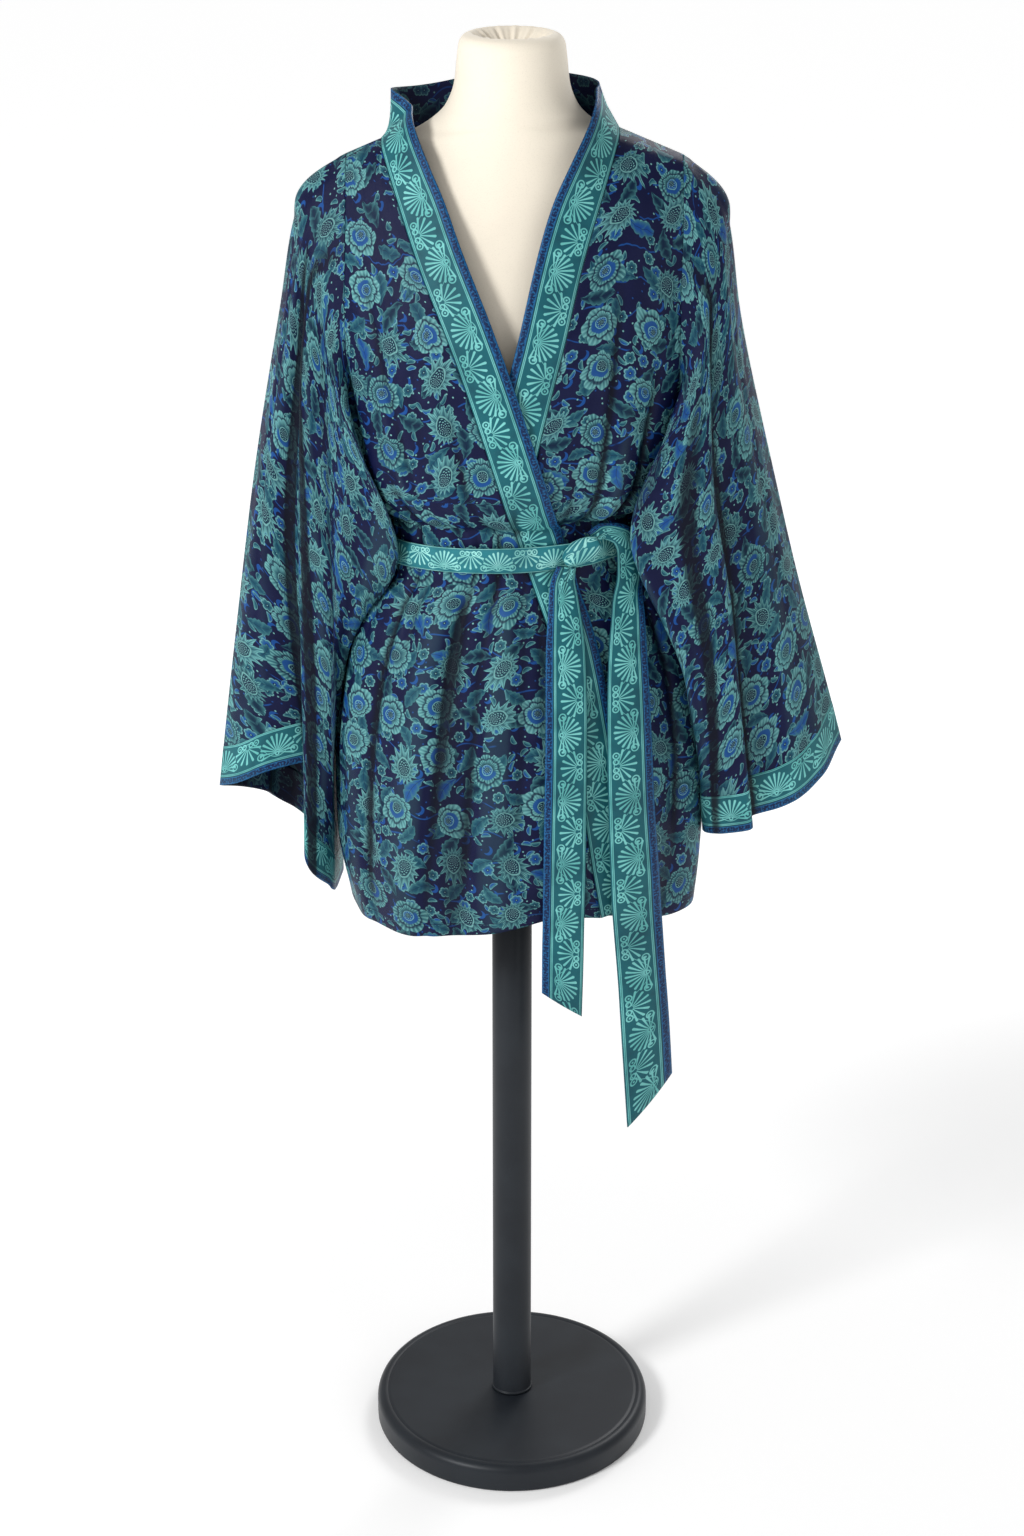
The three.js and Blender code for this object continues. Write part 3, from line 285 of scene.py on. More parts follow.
PLEATS = {
    "right": table(
        "place spread lap depth start",
        (0.237, 0.032, 7, 10, 0.02), (0.345, 0.036, 3, 6, 0.05), (0.83, 0.036, 8, 9, 0.1),
    ),
    "left": table(
        "place spread lap depth start",
        (0.285, 0.032, 9, 10, 0.04), (0.385, 0.036, 0, 4, 0.3), (0.83, 0.036, 8, 9, 0.1),
    ),
}
# The deep shade under the sleeves' knife pleats: place at the shoulder and at the end, and the ends' along.
PLEAT_SHADE = {
    "right": table(
        "top bottom spread dark low high",
        (0.19, 0.20, 0.009, 1.9, 0.1, 1.2),
        (0.245, 0.285, 0.011, 2.0, 0.0, 1.2),
        (0.70, 0.81, 0.012, 1.4, 0.1, 1.2),
    ),
    "left": table(
        "top bottom spread dark low high",
        (0.262, 0.268, 0.013, 2.0, 0.0, 1.2),
        (0.33, 0.40, 0.014, 1.4, 0.1, 1.2),
        (0.70, 0.81, 0.012, 1.4, 0.1, 1.2),
    ),
}
# Finer creases of the sleeves, running down them.
SLEEVE_CREASES = table(
    "place spread out low high drift",
    (0.05, 0.012, -1.6, 0.02, 0.55, 0.03),
    (0.10, 0.014, -2.2, 0.1, 1.1, 0.02),
    (0.155, 0.012, 1.4, -0.1, 0.5, 0.01),
    (0.185, 0.010, -1.8, 0.25, 1.1, 0.01),
    (0.31, 0.011, -1.8, -0.1, 0.8, 0.02),
    (0.40, 0.012, -1.8, 0.1, 1.1, 0.0),
    (0.46, 0.012, 1.4, 0.2, 0.9, 0.02),
    (0.56, 0.014, -2.0, 0.0, 0.8, -0.02),
    (0.64, 0.013, -1.8, 0.2, 1.1, 0.01),
    (0.71, 0.014, 1.6, 0.0, 0.7, 0.02),
    (0.77, 0.012, -2.2, 0.1, 1.1, 0.01),
    (0.91, 0.013, -1.8, 0.05, 0.9, -0.02),
    (0.965, 0.011, 1.2, 0.0, 0.6, 0.01),
)

# The sleeves' inner folds lie over the body's sides, drawn in and forward of the plain rings.
TUCKS = {
    "right": table(
        "place along spread reach inward ahead",
        (0.44, 0.18, 0.055, 0.17, 28, 12), (0.44, 0.52, 0.06, 0.18, 19, 4), (0.38, 0.98, 0.07, 0.26, 12, 2),
    ),
    "left": table(
        "place along spread reach inward ahead",
        (0.42, 0.18, 0.055, 0.16, 26, 10), (0.45, 0.6, 0.055, 0.2, 17, 3), (0.44, 0.98, 0.08, 0.24, 12, 0),
    ),
}

# Sash
SASH = {"height": 25, "middle": 1035, "tilt": 0.045, "clear": 0.5}
KNOT = {"x": 62, "height": 1045, "out": 18.8, "long": 21, "tall": 12, "deep": 10, "turn": 32}
SHORT_TAIL = table(
    "x height out width",
    (49.5, 1029.5, 15, 17), (47, 1010, 11, 23), (49, 985, 10, 30), (51, 940, 10, 38), (52, 860, 10, 40),
    (51, 740, 10, 41), (50, 650, 10, 41), (49, 568, 10, 40),
)
LONG_TAIL = table(
    "x height out width",
    (72.4, 1056.4, 12.8, 12), (84, 1061, 15, 16), (97, 1055, 18, 19), (103, 1040, 19, 21),
    (105, 1018, 18, 23), (106, 980, 17, 29), (108, 920, 16, 37), (112, 800, 16, 43),
    (118, 690, 16, 46), (126, 580, 16, 45), (135, 442, 16, 43),
)
SLANT = {"short": -15, "long": 22}

# Sections of the dress form, from its underside to the gathered cap of the neck.
FORM = table(
    "height fall reach front back pinch",
    (790, 0, 118, 84, 84, 1), (793, 0, 138, 99, 100, 1), (804, 0, 149, 107, 109, 1),
    (860, 0, 156, 108, 107, 1), (940, 0, 138, 96, 91, 1), (1030, 0, 118, 82, 76, 1),
    (1100, 0, 128, 93, 84, 1), (1190, 0, 144, 111, 96, 1), (1270, 4, 150, 102, 97, 1.05),
    (1345, 12, 153, 82, 86, 1.15), (1398, 18, 158, 68, 68, 1.5), (1430, 18, 155, 60, 57, 3),
    (1449, 26.4, 139.4, 57, 52, 3.4), (1454, 16, 97, 56, 52, 2), (1462, 5, 68, 56, 52, 1),
    (1482, 0, 56, 54, 51, 1), (1508, 0, 53, 52, 50, 1), (1522, 0, 51, 50, 48, 1), (1529, 0, 46, 45, 43, 1),
    (1531, 0, 40, 39, 38, 1), (1528, 0, 34, 33, 32, 1), (1519, 0, 22, 21, 20, 1), (1515, 0, 8, 8, 8, 1),
)
BASE_DEPTH = 1.1
BASE_RADIUS = 150
BASE_TOP = 30
POLE_RADIUS = 21
POLE_TOP = 789.6

# Weave and stitches, in millimetres
THREAD_PITCH = 0.9
WEAVE_HEIGHT = 0.25
STITCH = 3.6
HEM_STITCHES = 12.0

# Looks: sRGB colours, 0 to 255
INDIGO = (10, 16, 52)
PLUM = (17, 22, 58)
DEEP_TEAL = (6, 38, 60)
TEAL = (18, 68, 88)
SAGE = (58, 112, 118)
RIM = (82, 140, 144)
PALE = (120, 180, 178)
BLUE = (20, 70, 136)
SHADE = (4, 8, 24)
BORDER_TEAL = (20, 92, 102)
BORDER_PALE = (124, 204, 200)
BORDER_WORN = (70, 160, 156)
STRIP_BLUE = (6, 32, 74)
STRIP_SPECK = (26, 98, 150)
CREAM = (234, 225, 208)
CREAM_WORN = (222, 212, 196)
CREAM_GRAIN = (206, 196, 180)
SASH_TEAL = (36, 118, 128)
SASH_PALE = (158, 224, 216)
CHARCOAL = (34, 39, 45)
CHARCOAL_DARK = (27, 31, 37)
CHARCOAL_GRAIN = (58, 64, 70)
PRINT_SHEEN = (120, 190, 205)
BORDER_SHEEN = (140, 205, 205)

rng = np.random.default_rng(12)


# The value at t of a curve through (xs, ys) that never overshoots them. ys may hold one curve a column.
def curve(xs, ys, t):
    xs, ys = np.asarray(xs, float), np.asarray(ys, float)
    t = np.clip(t, xs[0], xs[-1])
    i = np.clip(np.searchsorted(xs, t, side="right") - 1, 0, len(xs) - 2)
    span = np.diff(xs)
    slope = (np.diff(ys, axis=0).T / span).T
    a, b = slope[:-1], slope[1:]
    same = a * b > 0
    middle = np.where(same, 2 * a * b / np.where(same, a + b, 1), 0)
    tangent = np.concatenate([slope[:1], middle, slope[-1:]])

    def at(values, j):
        return values[j] if values.ndim == 1 else np.take_along_axis(values.T, j, axis=1)

    u = (t - xs[i]) / span[i]
    m0, m1 = at(tangent, i) * span[i], at(tangent, i + 1) * span[i]
    p0, p1 = at(ys, i), at(ys, i + 1)
    u2, u3 = u**2, u**3
    return (2 * u3 - 3 * u2 + 1) * p0 + (u3 - 2 * u2 + u) * m0 + (3 * u2 - 2 * u3) * p1 + (u3 - u2) * m1


def smooth(low, high, t):
    s = np.clip((t - low) / (high - low), 0, 1)
    return s * s * (3 - 2 * s)


def mix(a, b, t):
    return a + (b - a) * t


def unit(v):
    return v / np.maximum(np.linalg.norm(v, axis=-1, keepdims=True), 1e-12)


def dot(a, b):
    return (a * b).sum(-1)


def sag(across):
    return (np.hypot(across, 0.15) - 0.15) / (math.hypot(1, 0.15) - 0.15)


def section(level):
    return {key: curve(np.arange(TOP + 1.0), BODY[key], level) for key in BODY}


# A point of the plain body surface, before folds.
def plain(turn, level):
    turn, level = np.broadcast_arrays(np.asarray(turn, float), np.asarray(level, float))
    s = section(level)
    across, ahead = np.sin(turn * RAD), np.cos(turn * RAD)
    x = across * np.where(across < 0, s["right"], s["left"])
    y = -ahead * np.where(ahead > 0, s["front"], s["back"])
    rise = curve(HEM_RISE["turn"], HEM_RISE["rise"], np.where(turn < -90, turn + 360, turn))
    return np.stack([x, y, s["height"] - s["fall"] * sag(across) + rise * np.clip(1 - level, 0, 1)], -1)


def body_normal(turn, level):
    dt, dl = 0.5, 0.02
    low = np.minimum(level, TOP - dl)
    around = plain(turn + dt, low) - plain(turn - dt, low)
    rise = plain(turn, low + dl) - plain(turn, np.maximum(0, low - dl))
    return unit(np.cross(around, rise))


def ridges(rows, turn, level):
    out = np.zeros(np.broadcast(turn, level).shape)
    for k in range(len(rows["turn"])):
        low, high = rows["low"][k], rows["high"][k]
        centre = rows["turn"][k] + rows["lean"][k] * (level - low)
        away = (turn - centre + 540) % 360 - 180
        ends = smooth(low - 0.9, low + 0.5, level) * (1 - smooth(high - 1.4, high, level))
        out = out + rows["out"][k] * ends * np.exp(-((away / rows["spread"][k]) ** 2) / 2)
    return out


# Small soft unevenness of hanging cloth, as a sum of waves with a fixed seed.
WAVE_RANGES = {"round": (3, 14), "up": (0.4, 3.2), "phase": (0, 6.3), "size": (0.3, 1)}
WAVES = [{key: rng.uniform(low, high) for key, (low, high) in WAVE_RANGES.items()} for _ in range(14)]


def ripple(turn, level):
    total = sum(w["size"] * np.sin(w["round"] * turn * RAD + w["up"] * level + w["phase"]) for w in WAVES)
    away_from_sash = smooth(0, 1.2, np.abs(level - SASH_LOW - 0.5) - 0.6)
    return 0.16 * total * away_from_sash * smooth(0, 0.6, TOP - 1.4 - level)


# How far each layer stands off where the fronts cross.
def over_lap(turn):
    return LAP * smooth(-84, -45, turn)


def under_lap(turn):
    return -LAP * (1 - smooth(48, 84, turn))


LAPS = {"right": over_lap, "left": under_lap}


def lap_fade(level):
    return 1 - smooth(TOP - 3.6, TOP - 2.2, level)


def on_body(turn, level, out):
    turn, level = np.broadcast_arrays(np.asarray(turn, float), np.asarray(level, float))
    relief = ridges(FOLDS, turn, level) + ridges(CREASES, turn, level) + ripple(turn, level)
    return plain(turn, level) + body_normal(turn, level) * (out + relief)[..., None]


def turn_at_x(level, x_at):
    s = section(level)
    across = np.zeros_like(level)
    for _ in range(12):
        x = x_at(s["height"] - s["fall"] * sag(across))
        across = x / np.where(x < 0, s["right"], s["left"])
    return np.arcsin(np.clip(across, -1, 1)) / RAD


def seam_turn(side, level):
    return turn_at_x(level, lambda height: curve(SEAMS[side]["height"], SEAMS[side]["x"], height))


def side_turn(side, level):
    reach = section(level)[side]
    arm = ARMHOLE[side] - SEAM_GAP
    above = (level > UNDERARM) & (reach > arm)
    return np.where(above, np.arcsin(np.clip(arm / reach, -1, 1)) / RAD, 90 - SEAM_GAP / reach / RAD)


def panel_levels(high):
    low_part = np.broadcast_to(UNDERARM * np.arange(LOW_ROWS) / LOW_ROWS, (len(high), LOW_ROWS))
    share = (np.arange(HIGH_ROWS + 1) / HIGH_ROWS) ** 1.25
    return np.concatenate([low_part, mix(UNDERARM, high[:, None], share[None])], axis=1)


def fold_level(turn, depth):
    return TOP - SHOULDER_GAP / (depth * np.abs(np.cos(turn * RAD)))


def bisect(too_low, low, high):
    for _ in range(40):
        middle = (low + high) / 2
        under = too_low(middle)
        low, high = np.where(under, middle, low), np.where(under, high, middle)
    return low


def front_grid(side):
    share = np.arange(FRONT_COLUMNS + 1)[:, None] / FRONT_COLUMNS

    def turn_of(level):
        edge, away = seam_turn(side, level), side_turn(side, level)
        return mix(-away, edge, share) if side == "right" else mix(edge, away, share)

    near_top = turn_of(np.full_like(share, TOP - 0.02))[:, 0]
    levels = panel_levels(fold_level(near_top, BODY["front"][TOP - 1]))
    turn = turn_of(levels)
    return on_body(turn, levels, LAPS[side](turn) * lap_fade(levels))


def neck_scoop(x):
    right, left = SEAMS["right"]["x"][-1], SEAMS["left"]["x"][-1]
    u = (2 * x - right - left) / (left - right)
    return np.where(np.abs(u) >= 1, 0, NECK_BACK * np.clip(1 - u * u, 0, 1) ** 0.55)


def back_turn(share, level):
    return mix(180 - side_turn("left", level), 180 + side_turn("right", level), share)


def back_grid():
    share = np.arange(BACK_COLUMNS + 1) / BACK_COLUMNS
    fold = fold_level(back_turn(share, np.full_like(share, TOP - 0.02)), BODY["back"][TOP - 1])
    corner_x = SEAMS["right"]["x"][-1]

    def spare(level):
        p = plain(back_turn(share, level), level)
        scoop = neck_scoop(p[:, 0])
        corner = np.where(p[:, 0] > 0, 0, smooth(corner_x - 12, corner_x + 4, p[:, 0]) * NECK_CORNER)
        return p[:, 1] - scoop - SEAM_GAP / 2 - corner * (1 - smooth(10, 45, scoop))

    cut = bisect(lambda level: spare(level) > 0, np.full_like(share, TOP - 3), fold)
    levels = panel_levels(np.where(spare(fold) >= 0, fold, cut))
    return on_body(back_turn(share[:, None], levels), levels, 0)


# The points a distance from their starts, walking over the body's surface in a direction.
def walk(turn, level, direction, distance, lap):
    steps = 6

    def at(t, l):
        return on_body(t, l, lap(t) * lap_fade(l))

    for _ in range(steps):
        low = np.maximum(0, level - 0.02)
        around = (at(turn + 0.2, level) - at(turn - 0.2, level)) / 0.4
        rise = (at(turn, level + 0.02) - at(turn, low)) / (level + 0.02 - low)[:, None]
        a, b, c = dot(around, around), dot(around, rise), dot(rise, rise)
        p, q = dot(around, direction), dot(rise, direction)
        dt, dl = (p * c - q * b) / (a * c - b * b), (q * a - p * b) / (a * c - b * b)
        moved = around * dt[:, None] + rise * dl[:, None]
        scale = distance / steps / np.linalg.norm(moved, axis=1)
        turn, level = turn + dt * scale, level + dl * scale
        direction = unit(moved)
    return at(turn, level)


def box_smooth(rows, reach):
    kernel = reach + 1 - np.abs(np.arange(-reach, reach + 1))
    padded = np.concatenate([np.repeat(rows[:1], reach, 0), rows, np.repeat(rows[-1:], reach, 0)])
    return np.stack([np.convolve(padded[:, k], kernel, "valid") for k in range(3)], -1)


# One half of the neckband: flat on the body up the front, then lifting off to stand round the neck.
def band_grid(side):
    sign = 1 if side == "right" else -1
    stand = BAND_STAND[side]
    level = (TOP - 0.04) * np.arange(BAND_ROWS + 1) / BAND_ROWS
    turn = seam_turn(side, level)
    points = on_body(turn, level, LAPS[side](turn) * lap_fade(level))
    shoulder, other = SEAMS[side]["x"][-1], SEAMS["left" if side == "right" else "right"]["x"][-1]
    middle = (shoulder + other) / 2
    share = np.arange(1, NECK_ROWS + 1) / NECK_ROWS
    x = mix(middle, shoulder, np.cos(math.pi / 2 * share))
    x[-1] = middle - sign * SEAM_GAP / 2
    y = neck_scoop(x) - SEAM_GAP / 3

    def turn_of(l):
        s = section(l)
        return 180 - np.arcsin(np.clip(x / np.where(x < 0, s["right"], s["left"]), -1, 1)) / RAD

    start = np.full_like(x, TOP - 4)
    back_level = bisect(lambda l: plain(turn_of(l), l)[:, 1] > y, start, np.full_like(x, TOP - 0.001))
    back_points = on_body(turn_of(back_level), back_level, 0)
    turn, level = np.concatenate([turn, turn_of(back_level)]), np.concatenate([level, back_level])
    points = np.concatenate([points, back_points])
    normals = body_normal(turn, level)
    high = (level > TOP - 2) | (np.arange(len(level)) > BAND_ROWS)
    even, fine = unit(box_smooth(normals, 3 * FINE)), unit(box_smooth(normals, FINE))
    normals = unit(np.where(high[:, None], even, fine))
    ends = np.clip(np.arange(len(points))[:, None] + np.array([-FINE, FINE]), 0, len(points) - 1)
    run = unit(points[ends[:, 1]] - points[ends[:, 0]])
    run[-1] = (sign, 0, 0)
    away = unit(np.cross(run, normals) * sign)
    round_neck = np.clip((np.arange(len(points)) - BAND_ROWS) / NECK_ROWS, 0, 1)
    front_lift = stand["shoulder"] * smooth(BAND_FLAT, SEAMS[side]["height"][-1], points[:, 2])
    corner = mix(stand["shoulder"], stand["behind"], smooth(0, 0.3, round_neck))
    behind_lift = mix(corner, stand["back"], smooth(0.3, 1, round_neck))
    on_front = np.arange(len(points)) <= BAND_ROWS
    lift = np.where(on_front, front_lift, behind_lift) * RAD
    free = np.where(on_front, smooth(BAND_FLAT - 30, BAND_FLAT + 40, points[:, 2]), 1)
    columns = []
    for k in range(BAND_COLUMNS + 1):
        reach = mix(SEAM_GAP + WALL / 2 * np.sin(lift) * free, BAND_WIDTH, k / BAND_COLUMNS)
        ruled = points + away * (reach * np.cos(lift))[:, None] + normals * (reach * np.sin(lift))[:, None]
        flat = walk(turn, level, away, reach, LAPS[side])
        columns.append(np.where(free[:, None] < 1, mix(flat, ruled, free[:, None]), ruled))
    return np.stack(columns)


# The points at shares of a line's length.
def along_line(points, share):
    lengths = np.concatenate([[0], np.cumsum(np.linalg.norm(np.diff(points, axis=0), axis=1))])
    target = np.clip(share, 0, 1) * lengths[-1]
    return np.stack([np.interp(target, lengths, points[:, k]) for k in range(3)], -1)


def armhole_points(side, edges, place):
    near = np.where(place <= 0.5, place, 1 - place) / 0.5
    share = near**ARMHOLE_FAN
    p = np.where((place <= 0.5)[:, None], along_line(edges[0], share), along_line(edges[1], share))
    p[:, 0] += -SEAM_GAP if side == "right" else SEAM_GAP
    p[:, 1] *= np.minimum(1, near / 0.04)
    return p


def sleeve_points(side, edges, place, along):
    start = armhole_points(side, edges, place)
    stations = np.array([0, *SLEEVE_ALONG])
    axes = []
    for k, key in enumerate("xyz"):
        rows = [start[:, k]] + [curve(ring["place"], ring[key], place) for ring in SLEEVE_RINGS[side]]
        axes.append(curve(stations, np.stack(rows), along))
    p = np.stack(axes, -1)
    inward = 1 if side == "right" else -1
    pleats = PLEATS[side]
    for k in range(len(pleats["place"])):
        q = ((place - pleats["place"][k]) / pleats["spread"][k])[:, None]
        near = np.abs(q) <= 5
        face = 1 if pleats["place"][k] < 0.5 else -1
        size = smooth(pleats["start"][k], pleats["start"][k] + 0.3, along) * near
        p[..., 0] -= inward * face * pleats["lap"][k] * size * 1.65 * q * np.exp(-q * q / 2)
        p[..., 1] -= face * pleats["depth"][k] * size * np.tanh(1.5 * q * face) * np.exp(-q * q / 8)
    return p


def tuck(side, place, along):
    shift = np.zeros((*along.shape, 3))
    rows = TUCKS[side]
    for k in range(len(rows["place"])):
        near = np.exp(-(((place[:, None] - rows["place"][k]) / rows["spread"][k]) ** 2))
        near = near * np.exp(-(((along - rows["along"][k]) / rows["reach"][k]) ** 2)) * smooth(0, 0.06, along)
        shift[..., 0] += (1 if side == "right" else -1) * rows["inward"][k] * near
        shift[..., 1] -= rows["ahead"][k] * near
    return shift


def pleat_shade(side, place, along):
    total = np.zeros(along.shape)
    rows = PLEAT_SHADE[side]
    for k in range(len(rows["top"])):
        low, high = rows["low"][k], rows["high"][k]
        centre = mix(rows["top"][k], rows["bottom"][k], np.clip(along, 0, 1))
        q = (place[:, None] - centre) / rows["spread"][k]
        ends = smooth(low - 0.1, low + 0.25, along) * (1 - smooth(high - 0.2, high, along))
        # Painted shade in each pleat's recess. Two spreads to one side it turns to less shade and a faint
        # painted highlight.
        total += rows["dark"][k] * ends * (np.exp(-np.abs(q) ** 3 / 2) - 0.7 * np.exp(-((q - 2.0) ** 2)))
    return total


def sleeve_relief(place, along):
    out = np.zeros(along.shape)
    rows = SLEEVE_CREASES
    for k in range(len(rows["place"])):
        low, high = rows["low"][k], rows["high"][k]
        centre = rows["place"][k] + rows["drift"][k] * along
        away = (place[:, None] - centre + 1.5) % 1 - 0.5
        ends = smooth(low, low + 0.16, along) * (1 - smooth(high - 0.2, high, along))
        out += rows["out"][k] * ends * np.exp(-((away / rows["spread"][k]) ** 2) / 2)
    turn = place[:, None] * 360
    waves = sum(
        w["size"] * np.sin(round(w["round"]) * turn * RAD + 5 * w["up"] * along + w["phase"]) for w in WAVES
    )
    shoulder = 6 * np.exp(-((np.minimum(place, 1 - place) / 0.09) ** 2))[:, None]
    shoulder = shoulder * np.sin(math.pi * np.clip(along / 0.13, 0, 1))
    return shoulder + (out + 0.22 * waves) * smooth(0, 0.12, along)


# The level whose ring stands at a height, where rings are level.
def level_at(height):
    low, high = np.zeros_like(height), np.full_like(height, UNDERARM + 3.0)
    return bisect(lambda level: curve(np.arange(TOP + 1.0), BODY["height"], level) < height, low, high)


# A sleeve's points, moved out until they stand clear of the panels beside them, but for those at its seam.
def clear_of_body(side, points, along, clearance):
    x, y = points[..., 0], points[..., 1]
    level = level_at(points[..., 2])
    s = section(level)
    across, ahead = x / s[side], y / np.where(y < 0, s["front"], s["back"])
    share, reach = np.hypot(across, ahead), np.hypot(x, y)
    turn = np.arctan2(across, -ahead) / RAD
    relief = ridges(FOLDS, turn, level) + ridges(CREASES, turn, level) + ripple(turn, level)
    lap = np.where(y < 0, np.maximum(0, LAPS[side](turn)), 0)
    short = reach / share + relief + lap + clearance - reach
    has_panel = np.where(level < UNDERARM, 1, 1 - smooth(ARMHOLE[side] - 2, ARMHOLE[side] + 10, np.abs(x)))
    scale = 1 + np.maximum(0, short) * has_panel * smooth(0.0, 0.05, along) / reach
    return np.stack([x * scale, y * scale, points[..., 2]], -1)


# Lengths along one direction of a grid, from its first line.
def arc(grid, axis):
    steps = np.linalg.norm(np.diff(grid, axis=axis), axis=-1)
    first = np.zeros_like(np.take(steps, [0], axis=axis))
    return np.concatenate([first, np.cumsum(steps, axis=axis)], axis=axis)


def grid_normals(grid, closed):
    if closed:
        across = np.roll(grid, -1, 0) - np.roll(grid, 1, 0)
    else:
        across = np.concatenate([grid[1:2] - grid[:1], grid[2:] - grid[:-2], grid[-1:] - grid[-2:-1]])
    low_end, high_end = grid[:, 1:2] - grid[:, :1], grid[:, -1:] - grid[:, -2:-1]
    up = np.concatenate([low_end, grid[:, 2:] - grid[:, :-2], high_end], axis=1)
    return unit(np.cross(across, up))


# Cloth coordinates of a grid in metres: across from its middle column, and up from its first row.
def cloth_uv(grid, closed, offset):
    lines = np.concatenate([grid, grid[:1]]) if closed else grid
    u, v = arc(lines, 0), arc(lines, 1)
    u = u - u[len(u) // 2][None]
    v = np.broadcast_to(v.mean(axis=0)[None], v.shape) * 0.5 + v * 0.5
    return np.stack([u + offset[0], v + offset[1]], -1) * M


def make_piece(name, vertices, faces, uvs, material_index, smooth_flags, materials, hollow):
    mesh = bpy.data.meshes.new(name)
    mesh.from_pydata((vertices * M).tolist(), [], faces.tolist())
    depths = mesh.attributes.new("hollow", "FLOAT", "POINT")
    depths.data.foreach_set("value", hollow.ravel().astype(np.float32))
    layer = mesh.uv_layers.new(name="cloth")
    layer.data.foreach_set("uv", np.ascontiguousarray(uvs, dtype=np.float32).ravel())
    mesh.polygons.foreach_set("material_index", material_index.astype(np.int32))
    mesh.polygons.foreach_set("use_smooth", smooth_flags)
    for material in materials:
        mesh.materials.append(material)
    mesh.update()
    piece = bpy.data.objects.new(name, mesh)
    bpy.context.collection.objects.link(piece)
    return piece


def blur(values, reach, axis, closed):
    n = values.shape[axis]
    reach = max(1, min(reach, (n - 1) // 2))
    mode = "wrap" if closed else "edge"
    pad = [(0, 0)] * values.ndim
    pad[axis] = (reach, reach)
    sums = np.cumsum(np.pad(values, pad, mode=mode), axis=axis)
    sums = np.concatenate([np.zeros_like(np.take(sums, [0], axis)), sums], axis)
    wide = 2 * reach + 1
    return (np.take(sums, range(wide, wide + n), axis) - np.take(sums, range(n), axis)) / wide


# How deep each point lies in a fold: about 1 in a deep trough, 0 on flat cloth and below 0 on a ridge.
def hollows(grid, normals, closed):
    reach = max(2, round(HOLLOW_REACH / float(np.median(np.diff(arc(grid, 0), axis=0)))))
    even = blur(blur(grid, reach, 0, closed), reach, 0, closed)
    return np.clip(dot(even - grid, normals) / HOLLOW_DEPTH, -2, 2)


# A closed wall of cloth along a grid of middle points, with its outer side in the first material and its
# inner side in the second.
def shell(name, grid, thickness, materials, uv, closed=False, normals=None, shade=0.0):
    n, m = grid.shape[:2]
    normals = grid_normals(grid, closed) if normals is None else normals
    sides = (grid + normals * thickness / 2, grid - normals * thickness / 2)
    vertices = np.concatenate([side.reshape(-1, 3) for side in sides])
    outer = np.arange(n * m).reshape(n, m)
    inner = outer + n * m
    if closed:
        outer, inner = np.concatenate([outer, outer[:1]]), np.concatenate([inner, inner[:1]])
    here = (slice(None, -1), slice(None, -1))
    east = (slice(1, None), slice(None, -1))
    corner = (slice(1, None), slice(1, None))
    north = (slice(None, -1), slice(1, None))
    first, last = (slice(None, -1), 0), (slice(1, None), 0)
    top, top_last = (slice(None, -1), -1), (slice(1, None), -1)
    groups = [
        ([(outer, here), (outer, east), (outer, corner), (outer, north)], 0, True),
        ([(inner, here), (inner, north), (inner, corner), (inner, east)], 1, True),
        ([(outer, first), (inner, first), (inner, last), (outer, last)], 0, False),
        ([(outer, top), (outer, top_last), (inner, top_last), (inner, top)], 0, False),
    ]
    if not closed:
        low, high = (0, slice(None, -1)), (0, slice(1, None))
        end_low, end_high = (-1, slice(None, -1)), (-1, slice(1, None))
        groups.append(([(outer, low), (outer, high), (inner, high), (inner, low)], 0, False))
        groups.append(([(outer, end_low), (inner, end_low), (inner, end_high), (outer, end_high)], 0, False))
    faces = [np.stack([ids[at].ravel() for ids, at in corners], -1) for corners, _, _ in groups]
    uvs = [np.stack([uv[at].reshape(-1, 2) for _, at in corners], 1) for corners, _, _ in groups]
    kinds = np.concatenate([np.full(len(f), index) for f, (_, index, _) in zip(faces, groups)])
    soft = np.concatenate([np.full(len(f), flag) for f, (_, _, flag) in zip(faces, groups)])
    # Each point's fold depth, with any painted pleat shade added, sets the outer side's painted shade and
    # ridge highlight. The inner side gets painted shade all over, most of it behind the outer side's ridges.
    hollow = hollows(grid, normals, closed) + shade
    hollow = np.stack([hollow, np.clip(0.35 - hollow, 0, 1)])
    faces, uvs = np.concatenate(faces), np.concatenate(uvs)
    return make_piece(name, vertices, faces, uvs, kinds, soft, materials, hollow)


# A solid of closed rings, one above the other, closed at both ends.
def rings_piece(name, rings, material):
    k, n = rings.shape[:2]
    ids = np.arange(k * n).reshape(k, n)
    around = np.roll(ids, -1, 1)
    sides = np.stack([ids[:-1], around[:-1], around[1:], ids[1:]], -1).reshape(-1, 4)
    u = np.broadcast_to(np.arange(n + 1)[None] / n, (k, n + 1))
    v = np.broadcast_to(np.arange(k)[:, None] / k, (k, n + 1))
    uv = np.stack([u, v], -1)
    corners = [uv[:-1, :-1], uv[:-1, 1:], uv[1:, 1:], uv[1:, :-1]]
    mesh = bpy.data.meshes.new(name)
    caps = [ids[0][::-1].tolist(), ids[-1].tolist()]
    mesh.from_pydata((rings.reshape(-1, 3) * M).tolist(), [], sides.tolist() + caps)
    layer = mesh.uv_layers.new(name="cloth")
    places = np.concatenate([np.stack(corners, 2).reshape(-1, 2), np.zeros((2 * n, 2))])
    layer.data.foreach_set("uv", places.astype(np.float32).ravel())
    mesh.polygons.foreach_set("use_smooth", [True] * len(sides) + [False] * 2)
    mesh.materials.append(material)
    mesh.update()
    piece = bpy.data.objects.new(name, mesh)
    bpy.context.collection.objects.link(piece)
    return piece


